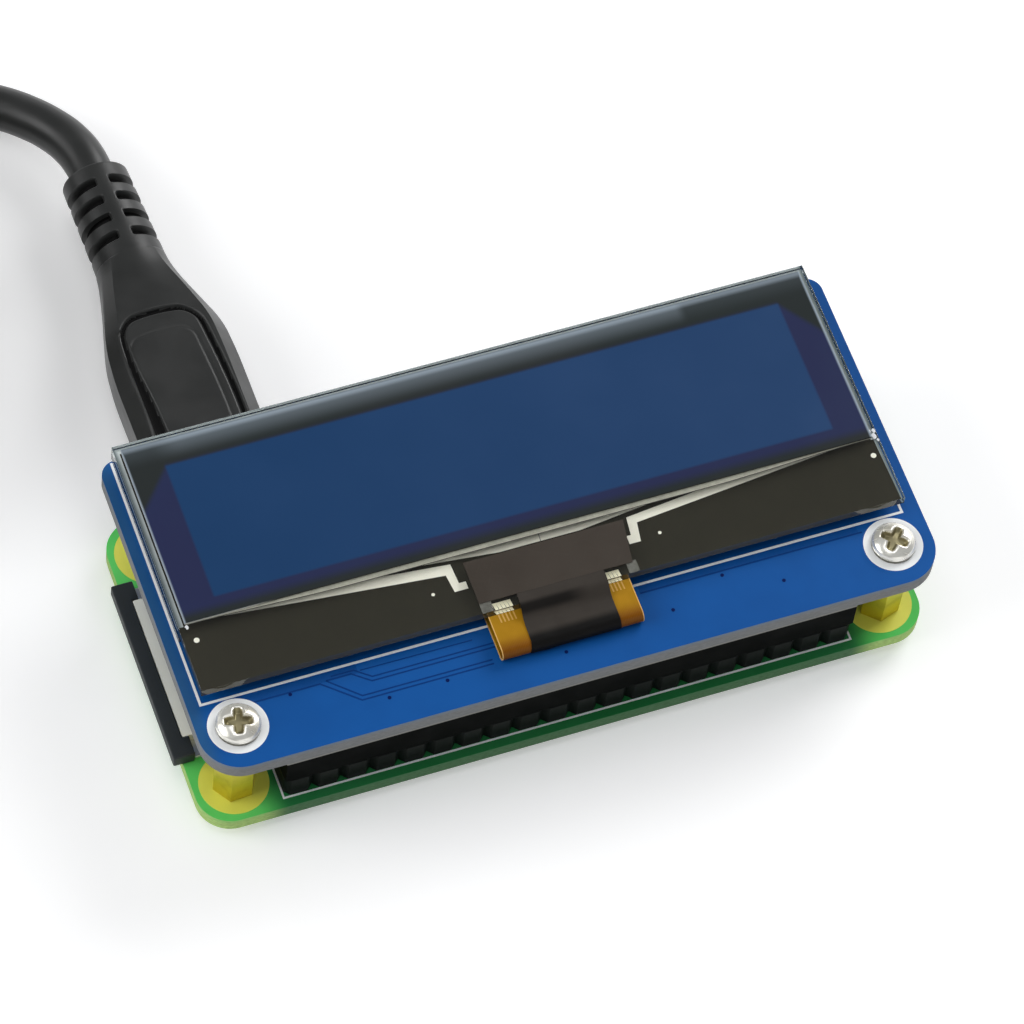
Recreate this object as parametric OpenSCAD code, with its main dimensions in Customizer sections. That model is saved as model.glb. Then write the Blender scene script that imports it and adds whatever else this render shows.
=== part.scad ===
/* [Boards] */
// Length of both boards, along X
board_l = 65; // [62:0.5:80]
// Depth of the host board, along Y
host_w = 30; // [29:0.5:40]
// Thickness of the host board
host_t = 1.4; // [1:0.1:2]
// Corner radius of the host board
host_corner_r = 3; // [1:0.5:4]
// How far the display board reaches past the host board at the front
display_front_lip = 0.3; // [0:0.1:0.8]
// How far the display board reaches past the host board at the back
display_back_lip = 0.5; // [0:0.1:0.9]
// Thickness of the display board
display_t = 1.6; // [1:0.1:2.4]
// Radius of the display board's two front corners
display_corner_r = 3.5; // [1:0.5:4]
// Radius of the display board's two back corners
display_back_r = 1.5; // [0.5:0.5:4]
// Free height between the two boards
board_gap = 8.4; // [7:0.1:14]

/* [Fixings] */
// Distance from a mounting hole to the host board's two nearest edges
hole_inset = 3.5; // [3:0.1:4]
// Diameter of the mounting holes
hole_d = 2.75; // [2.2:0.05:3.5]
// Distance across the flats of the hexagonal spacers
spacer_af = 3.3; // [3.2:0.1:5]
// Turn of the left spacer about its own axis, in degrees
spacer_turn_left = 4; // [0:1:59]
// Turn of the right spacer about its own axis, in degrees
spacer_turn_right = 18; // [0:1:59]
// Diameter of the screw shanks
screw_d = 1.9; // [1.6:0.05:2.2]
// Length of the screw shanks under their heads
screw_len = 4.8; // [3:0.1:5]
// Diameter of the pan heads
head_d = 3.8; // [3.2:0.1:5]
// Height of the pan heads
head_h = 1.4; // [1:0.1:2]
// Height of the upright rim of the pan heads
head_rim_h = 0.7; // [0.3:0.1:1]
// Length of the cross recess in the pan heads
recess_l = 2.2; // [1.2:0.1:3]
// Width of the cross recess
recess_w = 0.55; // [0.3:0.05:0.8]
// Depth of the cross recess
recess_depth = 0.75; // [0.3:0.05:0.9]

/* [Pin header] */
// Distance between neighbouring pins
pitch = 2.54; // [2.54]
// Pins in each of the two rows
pins_per_row = 20; // [4:1:20]
// Side of the square pins
pin_side = 0.64; // [0.5:0.02:0.7]
// Height of the moulded pin strip
strip_h = 2.54; // [2:0.02:3]
// Depth of the V notches between the pin cells
strip_notch = 0.5; // [0.2:0.05:0.8]
// How far the pins stand out of the strip
pin_up = 5.2; // [3:0.1:6]
// How far the pins reach below the host board
pin_down = 1.1; // [0.6:0.1:1.3]
// Diameter of the plated pin holes
pin_hole_d = 1; // [0.95:0.05:1.2]
// Depth of the socket body, along Y
socket_w = 5; // [4.8:0.1:5.4]
// Thickness of the socket's sprung leaves and feet
leaf_t = 0.15; // [0.1:0.01:0.2]
// Width of the socket's leaves and feet
leaf_w = 0.5; // [0.4:0.05:0.7]
// Reach of the socket's solder feet from the header's centre line
foot_reach = 3.4; // [3:0.1:3.6]
// Thickness of the socket's solder feet
foot_t = 0.2; // [0.1:0.05:0.3]

/* [Display panel] */
// Length of the front glass, along X
panel_l = 62.2; // [58:0.1:62.5]
// Depth of the front glass, along Y
panel_w = 24.2; // [22:0.1:25]
// Thickness of the front glass
front_glass_t = 0.9; // [0.5:0.1:1.2]
// Thickness of the rear cover glass
rear_glass_t = 0.9; // [0.5:0.1:1.2]
// Depth of the bare ledge in front of the rear cover glass
ledge_w = 5.8; // [5:0.1:7]
// Distance from the display board's back edge to the glass
panel_inset = 0; // [0:0.1:0.8]
// Offset of the panel from the board's centre, along X
panel_x = -0.2; // [-0.5:0.05:0.5]
// Thickness of the adhesive pad under the rear glass
pad_t = 0.5; // [0.3:0.1:1]
// Margin of the adhesive pad inside the rear glass
pad_margin = 2; // [1:0.5:4]
// Thickness of the polarizer
polarizer_t = 0.2; // [0.1:0.05:0.3]
// Margin of the polarizer inside the glass at the back and the sides
polarizer_margin = 0.6; // [0.3:0.05:1]
// Distance from the front edge of the glass to the polarizer
polarizer_front = 6.3; // [6:0.1:8]

/* [Display flex] */
// Width of the flexible film
flex_w = 12.5; // [10:0.1:16]
// Thickness of the film
flex_t = 0.1; // [0.06:0.01:0.15]
// Offset of the film from the board's centre, along X
flex_x = -0.1; // [-1:0.1:1]
// How far the film reaches past the front edge of the glass
flex_reach = 3.75; // [3:0.05:4.5]
// Length of film bonded under the ledge
flex_bond = 2.6; // [1.5:0.1:3]
// Length of film that returns under the ledge
flex_return = 4.2; // [2:0.1:4.5]
// Width of the tape on the ledge
tape_w = 14.2; // [12:0.1:18]
// Depth of the tape on the ledge
tape_depth = 4.05; // [3:0.05:5]
// Bare margin of ledge in front of the wide tape
tape_margin = 0.95; // [0.5:0.05:1.5]
// Width of the tape on the film
tape_narrow_w = 8; // [5:0.5:10]
// Offset of the tape from the board's centre, along X
tape_x = 0.2; // [-1:0.1:1]
// Offset of the narrow tape from the board's centre, along X
tape_narrow_x = 0.1; // [-1:0.1:1]
// Thickness of the tape
tape_t = 0.08; // [0.05:0.01:0.1]
// Size of the driver chip inside the fold
driver_size = [7, 1.4, 0.45];

/* [Host sockets] */
// Place of the power socket from the board's centre, along X
power_x = -21.6; // [-22.2:0.1:-20]
// Place of the data socket from the board's centre, along X
data_x = -8.9; // [-10:0.1:-8]
// Place of the video socket from the board's centre, along X
video_x = 20.1; // [19.9:0.1:20.1]
// How far the sockets reach past the host board's back edge
socket_overhang = 1; // [0.5:0.1:1.5]
// Depth of the two small sockets, along Y
usb_depth = 5.6; // [5:0.1:7]
// Width of the lead's metal tip
tip_w = 6.85; // [6.5:0.05:8]
// Height of the lead's metal tip
tip_h = 1.8; // [1.6:0.05:2.2]
// Corner cut of the lead's metal tip
tip_cut = 0.6; // [0.3:0.05:0.8]
// Clearance between the tip and the inside of the socket
tip_clear = 0.1; // [0.05:0.01:0.2]
// Thickness of the sheet metal of the sockets and of the tip
sheet_t = 0.25; // [0.15:0.05:0.35]
// Width of the video socket
video_w = 11.2; // [10:0.1:11.4]
// Depth of the video socket, along Y
video_depth = 7.6; // [7:0.1:9]
// Height of the video socket
video_h = 3.4; // [3:0.1:4]
// Size of the card socket, along X, Y and Z
card_size = [11.4, 12.2, 1.4];
// Place of the card socket's middle from the board's centre, along Y
card_y = -1.9; // [-2:0.1:0]

/* [Camera connector] */
// Length of the connector's body, along Y
camera_l = 13.6; // [12:0.1:15]
// Depth of the connector's body, along X
camera_depth = 4.2; // [3.5:0.1:5]
// Height of the connector's body
camera_h = 1.3; // [1:0.1:2]
// Distance from the board's left edge to the connector's body
camera_inset = 0.5; // [0.3:0.1:1]
// How far the latch bar reaches past the board's left edge
latch_overhang = 0.85; // [0.5:0.05:1.2]
// Length of the latch bar, along Y
latch_l = 17.3; // [16:0.1:18]
// Reach of the latch's ears along the ends of the body
latch_ear = 0.6; // [0.3:0.1:0.6]
// Height of the slot for the flat cable
cable_slot_h = 0.5; // [0.4:0.05:0.7]
// Length of the slot for the flat cable, along Y
cable_slot_l = 11.6; // [10:0.1:12]
// Contacts in the connector
camera_contacts = 22; // [10:1:22]

/* [Lead] */
// Diameter of the lead
lead_d = 4; // [3:0.1:4.4]
// Width of the moulded plug
plug_w = 11; // [9:0.1:12]
// Height of the moulded plug
plug_h = 7; // [6:0.1:7.6]
// Length of the straight part of the moulded plug
plug_straight = 9.6; // [8:0.1:14]
// Length of the tapering part of the moulded plug
plug_taper = 12; // [8:0.1:14]
// Diameter of the strain relief where it leaves the plug
relief_d = 6.4; // [5:0.1:6.6]
// Diameter of the strain relief at its end
relief_end_d = 6; // [4.5:0.1:6.4]
// Length of the strain relief
relief_l = 9.6; // [6:0.1:14]
// Lean of the strain relief towards -X, in degrees
relief_lean = 2; // [0:0.5:8]
// Gap between the socket's mouth and the moulded plug
plug_gap = 0.9; // [0.3:0.1:1.5]
// Radius of the coil at the middle of its turns
coil_r = 22; // [22]
// Turns side by side in the coil
coil_columns = 2; // [2]
// Turns on top of each other in the coil
coil_layers = 3; // [3]
// Width of the two ties around the coil
tie_w = 6; // [4:0.5:7]
// Thickness of the two ties
tie_t = 0.7; // [0.5:0.1:1]
// Size of the far plug's moulding: width, length and height
far_size = [15.6, 22, 7.8];
// Size of the far plug's metal sleeve: width, length and height
far_tip = [12, 12, 4.5];

/* [Hidden] */

// A small step that lets a cut pass a face
eps = 0.01;
// Running clearance between parts that slide or press together
slip = 0.05;
// Facets of round shapes that stay true circles
round_fn = 48;
// Facets of the rounded children of a hull
hull_fn = 32;

// Heights of the stack, from the standing surface up
host_bottom = head_h;
host_top = host_bottom + host_t;
display_bottom = host_top + board_gap;
display_top = display_bottom + display_t;
pad_top = display_top + pad_t;
ledge_bottom = pad_top + rear_glass_t;
glass_top = ledge_bottom + front_glass_t;

// Outline of the boards
display_front = -host_w / 2 - display_front_lip;
display_back = host_w / 2 + display_back_lip;
board_left = -board_l / 2;
board_right = board_l / 2;
host_back = host_w / 2;
hole_x = board_l / 2 - hole_inset;
hole_y = host_w / 2 - hole_inset;
header_y = -hole_y;
row_y = pitch / 2;
header_l = pitch * pins_per_row;

// Sockets at the back edge
usb_inner_w = tip_w + 2 * tip_clear;
usb_inner_h = tip_h + 2 * tip_clear;
usb_outer_w = usb_inner_w + 2 * sheet_t;
usb_outer_h = usb_inner_h + 2 * sheet_t;
usb_z = host_top + usb_outer_h / 2;
mouth_y = host_back + socket_overhang;
lip_flare = 0.3;
lip_l = 0.5;
usb_block_l = 0.5;
tongue_w = 3.8;
tongue_t = 0.45;
tongue_l = 3.8;
tongue_lift = 0.05;

// Plug of the lead
plug_corner_r = 2.2;
plug_front = mouth_y + plug_gap;
plug_taper_start = plug_front + plug_straight;
plug_neck = plug_taper_start + plug_taper;
relief_shift = -0.3;
// Sections of the tapering neck: share of the taper, share of the width, share of the height, shift
neck_sections = [[0, 1, 1, 0], [0.3, 0.93, 0.98, 0], [0.62, 0.71, 0.92, -0.25], [0.83, 0.62, 0.91, -0.4]];
tip_l = plug_gap + usb_depth - sheet_t - usb_block_l - tip_clear;

// Camera connector
camera_left = board_left + camera_inset;
latch_left = board_left - latch_overhang;

// Display panel
panel_back = display_back - panel_inset;
panel_front = panel_back - panel_w;
rear_glass_front = panel_front + ledge_w;
fold_r = (ledge_bottom - display_top) / 2;
fold_y = panel_front - flex_reach + fold_r;
fold_z = display_top + fold_r;

// Pin header
strip_top = host_top + strip_h;
socket_bottom = strip_top + slip;
socket_top = display_bottom - foot_t;
cell_cut_x = 0.8;
cell_cut_y = pin_side + 2 * leaf_t + 4 * slip;
strip_clear = 0.01;
solder_r = 0.9;
solder_tip_r = 0.5;
solder_h = 0.8;

// The origin is the middle of the standing box, so the whole model shifts by this much
frame_x = -(latch_left + board_right) / 2;
frame_y = -(display_front + mouth_y) / 2;

// Small parts on the host board: place from the board's centre and turn
host_capacitor_at = [
    [-1.6, -4.5, 90], [-1.6, -2, 90], [-1.6, 0.5, 90], [-1.6, 3, 90], [-1.6, 5.5, 90],
    [13.6, -3.5, 90], [13.6, 4.6, 90], [1.5, 8.6, 0], [4.5, 8.6, 0], [7.5, 8.6, 0],
    [-13, 5.6, 0], [-15.6, 8.6, 90], [-13.9, 0, 90], [-24.5, -6.5, 0], [-24.5, 5.5, 90],
    [-26.2, 4.2, 90], [27.8, 6.5, 0], [30.4, 6.5, 0],
];
host_resistor_at = [
    [10.5, 8.6, 0], [-4.8, 6, 0], [-7.6, 6, 0], [-10.3, 6, 0], [15.6, -6, 90],
    [15.6, -3, 90], [15.6, 0, 90], [15.6, 3, 90], [-17.5, -6.6, 0], [-20.5, -6.6, 0],
    [-24.5, -4, 0], [-24.5, 2.5, 90], [3, -7.3, 0], [7, -7.3, 0],
];
host_inductor_at = [[-16.6, 4, 0], [-20.6, 4, 0], [-17.4, -3.4, 90]];
display_capacitor_at = [
    [-14, 3, 90], [-11, 3, 90], [-8, 3, 90], [-5, 3, 90], [5, 3, 90], [8, 3, 90],
    [-24, 6, 0], [-24, 3, 0],
];
display_resistor_at = [
    [12, 3, 90], [14.4, 3, 90], [16.8, 3, 90], [19.2, 3, 90], [21.6, 3, 90], [24, 3, 90],
    [-2, -4, 0], [2, -4, 0],
];
chip_cap = [1.6, 0.8, 0.8];
chip_res = [1.6, 0.8, 0.45];
small_cap = [1, 0.55, 0.5];
inductor_size = [2.6, 2.2, 1.2];
end_cap_share = 0.22;
processor_size = [12, 12, 1.1];
processor_at = [6, 1.2];
radio_size = [5, 5, 0.7];
radio_at = [-8, 1];
crystal_size = [3.2, 2.5, 0.75];
crystal_at = [-8, -4.6];
lamp_size = [1.6, 0.8, 0.6];
lamp_at = [-25.2, 8.6];
regulator_size = [2.9, 1.6, 1.1];
regulator_at = [-18.5, 4.5];
regulator_lead = [0.4, 0.7, 0.15];
regulator_pitch = 0.95;
ball_gap = 0.1;

// Coil of the lead
coil_at = [-63, 42];
coil_base = tie_t;
coil_w = lead_d * coil_columns;
coil_h = lead_d * coil_layers;
coil_in = coil_r - coil_w / 2;
coil_out = coil_r + coil_w / 2;
coil_top = coil_base + coil_h;
coil_bevel = 1;
tie_clear = 0.3;
tie_turns = [0, 275];
lead_sides = 8;

// Where the power socket's mouth is when the lead's route is as written; the lead follows the socket
route_at = [-21.6, 16];
// Route of the lead from the strain relief to the coil, from the board's centre
run_points = [
    [-22.25, 48.3, 4.05], [-22.45, 50.5, 4], [-23.05, 52.7, 3.8], [-24.1, 54.8, 3.45], [-25.6, 56.8, 3.1],
    [-27.6, 58.7, 2.8], [-30.3, 60.5, 2.5], [-33.5, 62.2, 2.3], [-36.9, 63.6, 2.2], [-40.3, 64.7, 2.3],
    [-43.7, 65.5, 2.5], [-46.5, 65.9, 2.65], [-48.6, 66, 2.7],
];
// Last stretch of the lead on top of the coil, to the far plug
tail_points = [
    [-61, 62.4, 14.8], [-64.5, 62.5, 14.8], [-68, 61.8, 14.8], [-71.3, 60.2, 14.8],
    [-74.1, 57.9, 14.9], [-76.4, 55.1, 15.1], [-78, 51.8, 15.6], [-79.1, 48.6, 16.4], [-79.2, 45.75, 16.6],
];
far_x = -79.2;
far_back = 45.5;
far_relief_l = 8;
far_relief_d = 6.4;
far_z = coil_top + far_size[2] / 2;
far_front = far_back - far_relief_l - far_size[1];
far_corner_r = 2;
far_insert_t = 1.9;

module place()
{
    translate([frame_x, frame_y, 0]) children();
}

// As place(), for the lead, whose whole route moves with the power socket
module place_lead()
{
    place() translate([power_x - route_at[0], mouth_y - route_at[1], 0]) children();
}

// A flat plate with true round corners, standing on z = 0
module rounded_plate(l, w, t, r)
{
    linear_extrude(t) rounded_outline(l, w, r);
}

module rounded_outline(l, w, r)
{
    square([l - 2 * r, w], center = true);
    square([l, w - 2 * r], center = true);
    for (sx = [-1, 1], sy = [-1, 1])
        translate([sx * (l / 2 - r), sy * (w / 2 - r)])
            circle(r, $fn = round_fn);
}

// Outline of the display board: wide corners at the front and small ones at the back
module display_outline()
{
    front_x = board_l / 2 - display_corner_r;
    back_x = board_l / 2 - display_back_r;
    side_w = display_back - display_front - display_corner_r - display_back_r;
    translate([-front_x, display_front]) square([2 * front_x, display_corner_r]);
    translate([board_left, display_front + display_corner_r]) square([board_l, side_w]);
    translate([-back_x, display_back - display_back_r]) square([2 * back_x, display_back_r]);
    for (side = [-1, 1]) {
        translate([side * front_x, display_front + display_corner_r])
            circle(display_corner_r, $fn = round_fn);
        translate([side * back_x, display_back - display_back_r])
            circle(display_back_r, $fn = round_fn);
    }
}

// Calls its children at both front mounting holes
module at_front_holes()
{
    for (side = [-1, 1])
        translate([side * hole_x, -hole_y, 0]) children();
}

// Calls its children at each header pin
module at_pins()
{
    for (i = [0 : pins_per_row - 1], row = [-1, 1])
        translate([(i - (pins_per_row - 1) / 2) * pitch, header_y + row * row_y, 0])
            children();
}

module block(size)
{
    translate([0, 0, size[2] / 2]) cube(size, center = true);
}

// ---------------------------------------------------------------- boards

module host_board()
{
    color("forestgreen") place() difference() {
        translate([0, 0, host_bottom])
            rounded_plate(board_l, host_w, host_t, host_corner_r);
        for (sx = [-1, 1], sy = [-1, 1])
            translate([sx * hole_x, sy * hole_y, host_bottom - eps])
                cylinder(h = host_t + 2 * eps, d = hole_d, $fn = round_fn);
        at_pins()
            translate([0, 0, host_bottom - eps])
                cylinder(h = host_t + 2 * eps, d = pin_hole_d, $fn = round_fn);
    }
}

module display_board()
{
    color("royalblue") place() difference() {
        translate([0, 0, display_bottom])
            linear_extrude(display_t) display_outline();
        at_front_holes()
            translate([0, 0, display_bottom - eps])
                cylinder(h = display_t + 2 * eps, d = hole_d, $fn = round_fn);
    }
}

// ---------------------------------------------------------------- small parts

// A chip part with two soldered end caps; the middle is slightly smaller
module chip_part(size)
{
    end_l = size[0] * end_cap_share;
    skin = eps * 3;
    union() {
        translate([0, 0, skin])
            block([size[0] - end_l, size[1] - 2 * skin, size[2] - 2 * skin]);
        for (side = [-1, 1])
            translate([side * (size[0] - end_l) / 2, 0, 0])
                block([end_l, size[1], size[2]]);
    }
}

// Sets one chip part at each listed place on the host board
module on_host(places, size)
{
    for (p = places)
        translate([p[0], p[1], host_top]) rotate([0, 0, p[2]]) chip_part(size);
}

// Sets one chip part at each listed place under the display board
module under_display(places, size)
{
    for (p = places)
        translate([p[0], p[1], display_bottom - size[2]]) rotate([0, 0, p[2]]) chip_part(size);
}

module host_capacitors()
{
    color("tan") place() on_host(host_capacitor_at, small_cap);
}

module host_resistors()
{
    color("black") place() on_host(host_resistor_at, small_cap);
}

module host_inductors()
{
    color("dimgray") place() on_host(host_inductor_at, inductor_size);
}

module display_capacitors()
{
    color("tan") place() under_display(display_capacitor_at, chip_cap);
}

module display_resistors()
{
    color("black") place() under_display(display_resistor_at, chip_res);
}

// Two stacked bodies on a thin bed of solder
module host_processor()
{
    step = 0.35;
    color("dimgray") place()
        translate([processor_at[0], processor_at[1], host_top])
            union() {
                block([processor_size[0], processor_size[1], processor_size[2] / 2]);
                block([processor_size[0] - 2 * step, processor_size[1] - 2 * step, processor_size[2]]);
            }
}

module host_radio_chip()
{
    color("black") place() translate([radio_at[0], radio_at[1], host_top]) block(radio_size);
}

module host_crystal()
{
    lid_step = 0.25;
    base_share = 0.6;
    color("silver") place() translate([crystal_at[0], crystal_at[1], host_top]) union() {
        block([crystal_size[0], crystal_size[1], crystal_size[2] * base_share]);
        block([crystal_size[0] - 2 * lid_step, crystal_size[1] - 2 * lid_step, crystal_size[2]]);
    }
}

module host_status_lamp()
{
    lens_share = 0.5;
    color("palegreen") place() translate([lamp_at[0], lamp_at[1], host_top]) union() {
        block([lamp_size[0], lamp_size[1], lamp_size[2] * lens_share]);
        block([lamp_size[0] * lens_share, lamp_size[1], lamp_size[2]]);
    }
}

module display_regulator()
{
    lead_y = (regulator_size[1] + regulator_lead[1]) / 2;
    color("black") place()
        translate([regulator_at[0], regulator_at[1], display_bottom])
            mirror([0, 0, 1]) union() {
                translate([0, 0, ball_gap])
                    block([regulator_size[0], regulator_size[1], regulator_size[2] - ball_gap]);
                for (side = [-1, 1])
                    translate([side * regulator_pitch, -lead_y + eps, 0]) block(regulator_lead);
                translate([0, lead_y - eps, 0]) block(regulator_lead);
            }
}

// ---------------------------------------------------------------- pin header

// One moulded cell of the pin strip, with its corners cut back for the V notches
module strip_cell()
{
    half = pitch;
    polygon([
        [-pitch / 2, -half + strip_notch],
        [-pitch / 2 + strip_notch, -half],
        [pitch / 2 - strip_notch, -half],
        [pitch / 2, -half + strip_notch],
        [pitch / 2, half - strip_notch],
        [pitch / 2 - strip_notch, half],
        [-pitch / 2 + strip_notch, half],
        [-pitch / 2, half - strip_notch],
    ]);
}

module pin_strip()
{
    hole = pin_side + 2 * strip_clear;
    color("black") place() difference() {
        translate([0, header_y, host_top])
            linear_extrude(strip_h)
                for (i = [0 : pins_per_row - 1])
                    translate([(i - (pins_per_row - 1) / 2) * pitch, 0]) strip_cell();
        at_pins()
            translate([0, 0, host_top - eps])
                block([hole, hole, strip_h + 2 * eps]);
    }
}

module header_pins()
{
    color("gold") place()
        at_pins()
            translate([0, 0, host_bottom - pin_down])
                block([pin_side, pin_side, pin_down + host_t + strip_h + pin_up]);
}

// Solder cones around the pin tails under the host board
module header_solder()
{
    hole = pin_side + 2 * strip_clear;
    color("silver") place()
        at_pins() difference() {
            translate([0, 0, host_bottom - solder_h])
                cylinder(h = solder_h, r1 = solder_tip_r, r2 = solder_r, $fn = round_fn);
            translate([0, 0, host_bottom - solder_h - eps])
                block([hole, hole, solder_h + 2 * eps]);
        }
}

module board_socket_body()
{
    nub_l = 1.2;
    color("black") place() difference() {
        translate([0, header_y, socket_bottom]) union() {
            block([header_l, socket_w, socket_top - socket_bottom]);
            for (side = [-1, 1])
                translate([side * (header_l - nub_l) / 2, 0, 0])
                    block([nub_l, pitch - cell_cut_y, display_bottom - socket_bottom]);
        }
        at_pins()
            translate([0, 0, socket_bottom - eps])
                block([cell_cut_x, cell_cut_y, socket_top - socket_bottom + 2 * eps]);
    }
}

// A pair of sprung leaves around each pin, with a solder foot that points outwards
module board_socket_contacts()
{
    leaf_y = pin_side / 2 + slip + leaf_t / 2;
    leaf_bottom = socket_bottom + 1;
    foot_inner = leaf_y + leaf_t / 2;
    foot_l = foot_reach - row_y + foot_inner;
    color("gold") place()
        for (i = [0 : pins_per_row - 1], row = [-1, 1])
            translate([(i - (pins_per_row - 1) / 2) * pitch, header_y + row * row_y, 0])
                union() {
                    for (side = [-1, 1])
                        translate([0, side * leaf_y, leaf_bottom])
                            block([leaf_w, leaf_t, socket_top - leaf_bottom + eps]);
                    translate([0, row * (foot_l / 2 - foot_inner), socket_top])
                        block([leaf_w, foot_l, foot_t]);
                }
}

// ---------------------------------------------------------------- fixings

module spacers()
{
    turns = [spacer_turn_left, spacer_turn_right];
    bore_d = screw_d + 2 * slip;
    color("goldenrod") place()
        for (i = [0, 1])
            translate([(2 * i - 1) * hole_x, -hole_y, host_top])
                difference() {
                    rotate([0, 0, turns[i]])
                        cylinder(h = board_gap, d = spacer_af / cos(180 / 6), $fn = 6);
                    translate([0, 0, -eps])
                        cylinder(h = board_gap + 2 * eps, d = bore_d, $fn = round_fn);
                }
}

// Pan head with a cross recess, its seat on z = 0 and its shank pointing down
module pan_screw()
{
    crown_h = head_h - head_rim_h;
    crown_r = (pow(head_d / 2, 2) + pow(crown_h, 2)) / (2 * crown_h);
    union() {
        difference() {
            rotate_extrude($fn = round_fn)
                intersection() {
                    translate([0, head_h - crown_r]) circle(crown_r, $fn = round_fn * 4);
                    square([head_d / 2, head_h]);
                }
            for (turn = [45, 135])
                rotate([0, 0, turn])
                    translate([0, 0, head_h - recess_depth])
                        block([recess_l, recess_w, head_h]);
        }
        translate([0, 0, -screw_len])
            cylinder(h = screw_len + eps, d = screw_d, $fn = round_fn);
    }
}

module top_screws()
{
    color("silver") place()
        at_front_holes()
            translate([0, 0, display_top]) pan_screw();
}

module bottom_screws()
{
    color("silver") place()
        at_front_holes()
            translate([0, 0, host_bottom]) mirror([0, 0, 1]) pan_screw();
}

// ---------------------------------------------------------------- camera connector

module camera_connector_body()
{
    slot_depth = camera_depth - 1;
    slot_z = (camera_h - cable_slot_h) / 2;
    color("ivory") place() difference() {
        translate([camera_left + camera_depth / 2, 0, host_top])
            block([camera_depth, camera_l, camera_h]);
        translate([camera_left + slot_depth / 2 - eps, 0, host_top + slot_z])
            block([slot_depth + 2 * eps, cable_slot_l, cable_slot_h]);
    }
}

// Outer bar, two ears along the ends of the body and a wedge in the cable slot
module camera_connector_latch()
{
    bar_l = camera_left - slip - latch_left;
    ear_w = (latch_l - camera_l) / 2 - slip;
    wedge_l = 2;
    wedge_t = cable_slot_h - 4 * slip;
    lift = slip;
    color("dimgray") place() union() {
        translate([latch_left + bar_l / 2, 0, host_top + lift])
            block([bar_l, latch_l, camera_h]);
        for (side = [-1, 1])
            translate([latch_left + (bar_l + latch_ear) / 2, side * (latch_l - ear_w) / 2, host_top + lift])
                block([bar_l + latch_ear, ear_w, camera_h]);
        translate([latch_left + (bar_l + wedge_l) / 2, 0, host_top + (camera_h - wedge_t) / 2])
            block([bar_l + wedge_l, cable_slot_l - 4 * slip, wedge_t]);
    }
}

// Solder feet behind the connector's body
module camera_connector_contacts()
{
    foot = [0.8, 0.22, 0.15];
    contact_pitch = 0.5;
    color("silver") place()
        for (i = [0 : camera_contacts - 1])
            translate([
                camera_left + camera_depth + foot[0] / 2,
                (i - (camera_contacts - 1) / 2) * contact_pitch,
                host_top,
            ]) block(foot);
}

// Tinned anchor plates at both ends of the connector's body
module camera_connector_anchors()
{
    anchor = [1.2, 1.6, 0.3];
    front_gap = 1.25;
    color("silver") place()
        for (side = [-1, 1])
            translate([
                camera_left + front_gap,
                side * (camera_l + anchor[1]) / 2,
                host_top,
            ]) block(anchor);
}

// ---------------------------------------------------------------- back sockets

// Outline of the small plug and socket: a rectangle with its two lower corners cut off
module usb_outline(w, h, cut)
{
    polygon([
        [-w / 2 + cut, -h / 2],
        [w / 2 - cut, -h / 2],
        [w / 2, -h / 2 + cut],
        [w / 2, h / 2],
        [-w / 2, h / 2],
        [-w / 2, -h / 2 + cut],
    ]);
}

// Extrudes a drawn outline backwards along +Y from y_start
module along_y(y_start, length)
{
    translate([0, y_start + length, 0])
        rotate([90, 0, 0])
            linear_extrude(length) children();
}

module usb_sleeve(x)
{
    back_y = mouth_y - usb_depth;
    color("silver") place() translate([x, 0, usb_z]) difference() {
        union() {
            along_y(back_y, usb_depth) usb_outline(usb_outer_w, usb_outer_h, tip_cut);
            translate([0, 0, lip_flare / 2])
                along_y(mouth_y - lip_l, lip_l)
                    usb_outline(usb_outer_w + 2 * lip_flare, usb_outer_h + lip_flare, tip_cut);
        }
        along_y(back_y + sheet_t, usb_depth) usb_outline(usb_inner_w, usb_inner_h, tip_cut);
    }
}

module usb_insert(x)
{
    block_y = mouth_y - usb_depth + sheet_t;
    color("black") place() translate([x, 0, usb_z]) union() {
        along_y(block_y, usb_block_l)
            usb_outline(usb_inner_w - 2 * eps, usb_inner_h - 2 * eps, tip_cut);
        translate([0, block_y + usb_block_l + tongue_l / 2 - eps, tongue_lift])
            block([tongue_w, tongue_l, tongue_t]);
    }
}

module power_socket_sleeve()
{
    usb_sleeve(power_x);
}

module power_socket_insert()
{
    usb_insert(power_x);
}

module data_socket_sleeve()
{
    usb_sleeve(data_x);
}

module data_socket_insert()
{
    usb_insert(data_x);
}

module video_socket_sleeve()
{
    cut = 1.1;
    back_y = mouth_y - video_depth;
    color("silver") place() translate([video_x, 0, host_top + video_h / 2]) difference() {
        along_y(back_y, video_depth) usb_outline(video_w, video_h, cut);
        along_y(back_y + sheet_t, video_depth)
            usb_outline(video_w - 2 * sheet_t, video_h - 2 * sheet_t, cut);
    }
}

module video_socket_insert()
{
    cut = 1.1;
    block_l = 2;
    tongue = [8.4, 4.2, 0.7];
    block_y = mouth_y - video_depth + sheet_t;
    inner_gap = sheet_t + eps;
    color("black") place() translate([video_x, 0, host_top + video_h / 2]) union() {
        along_y(block_y, block_l)
            usb_outline(video_w - 2 * inner_gap, video_h - 2 * inner_gap, cut);
        translate([0, block_y + block_l + tongue[1] / 2 - eps, -tongue[2] / 2]) block(tongue);
    }
}

// ---------------------------------------------------------------- card socket

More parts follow.
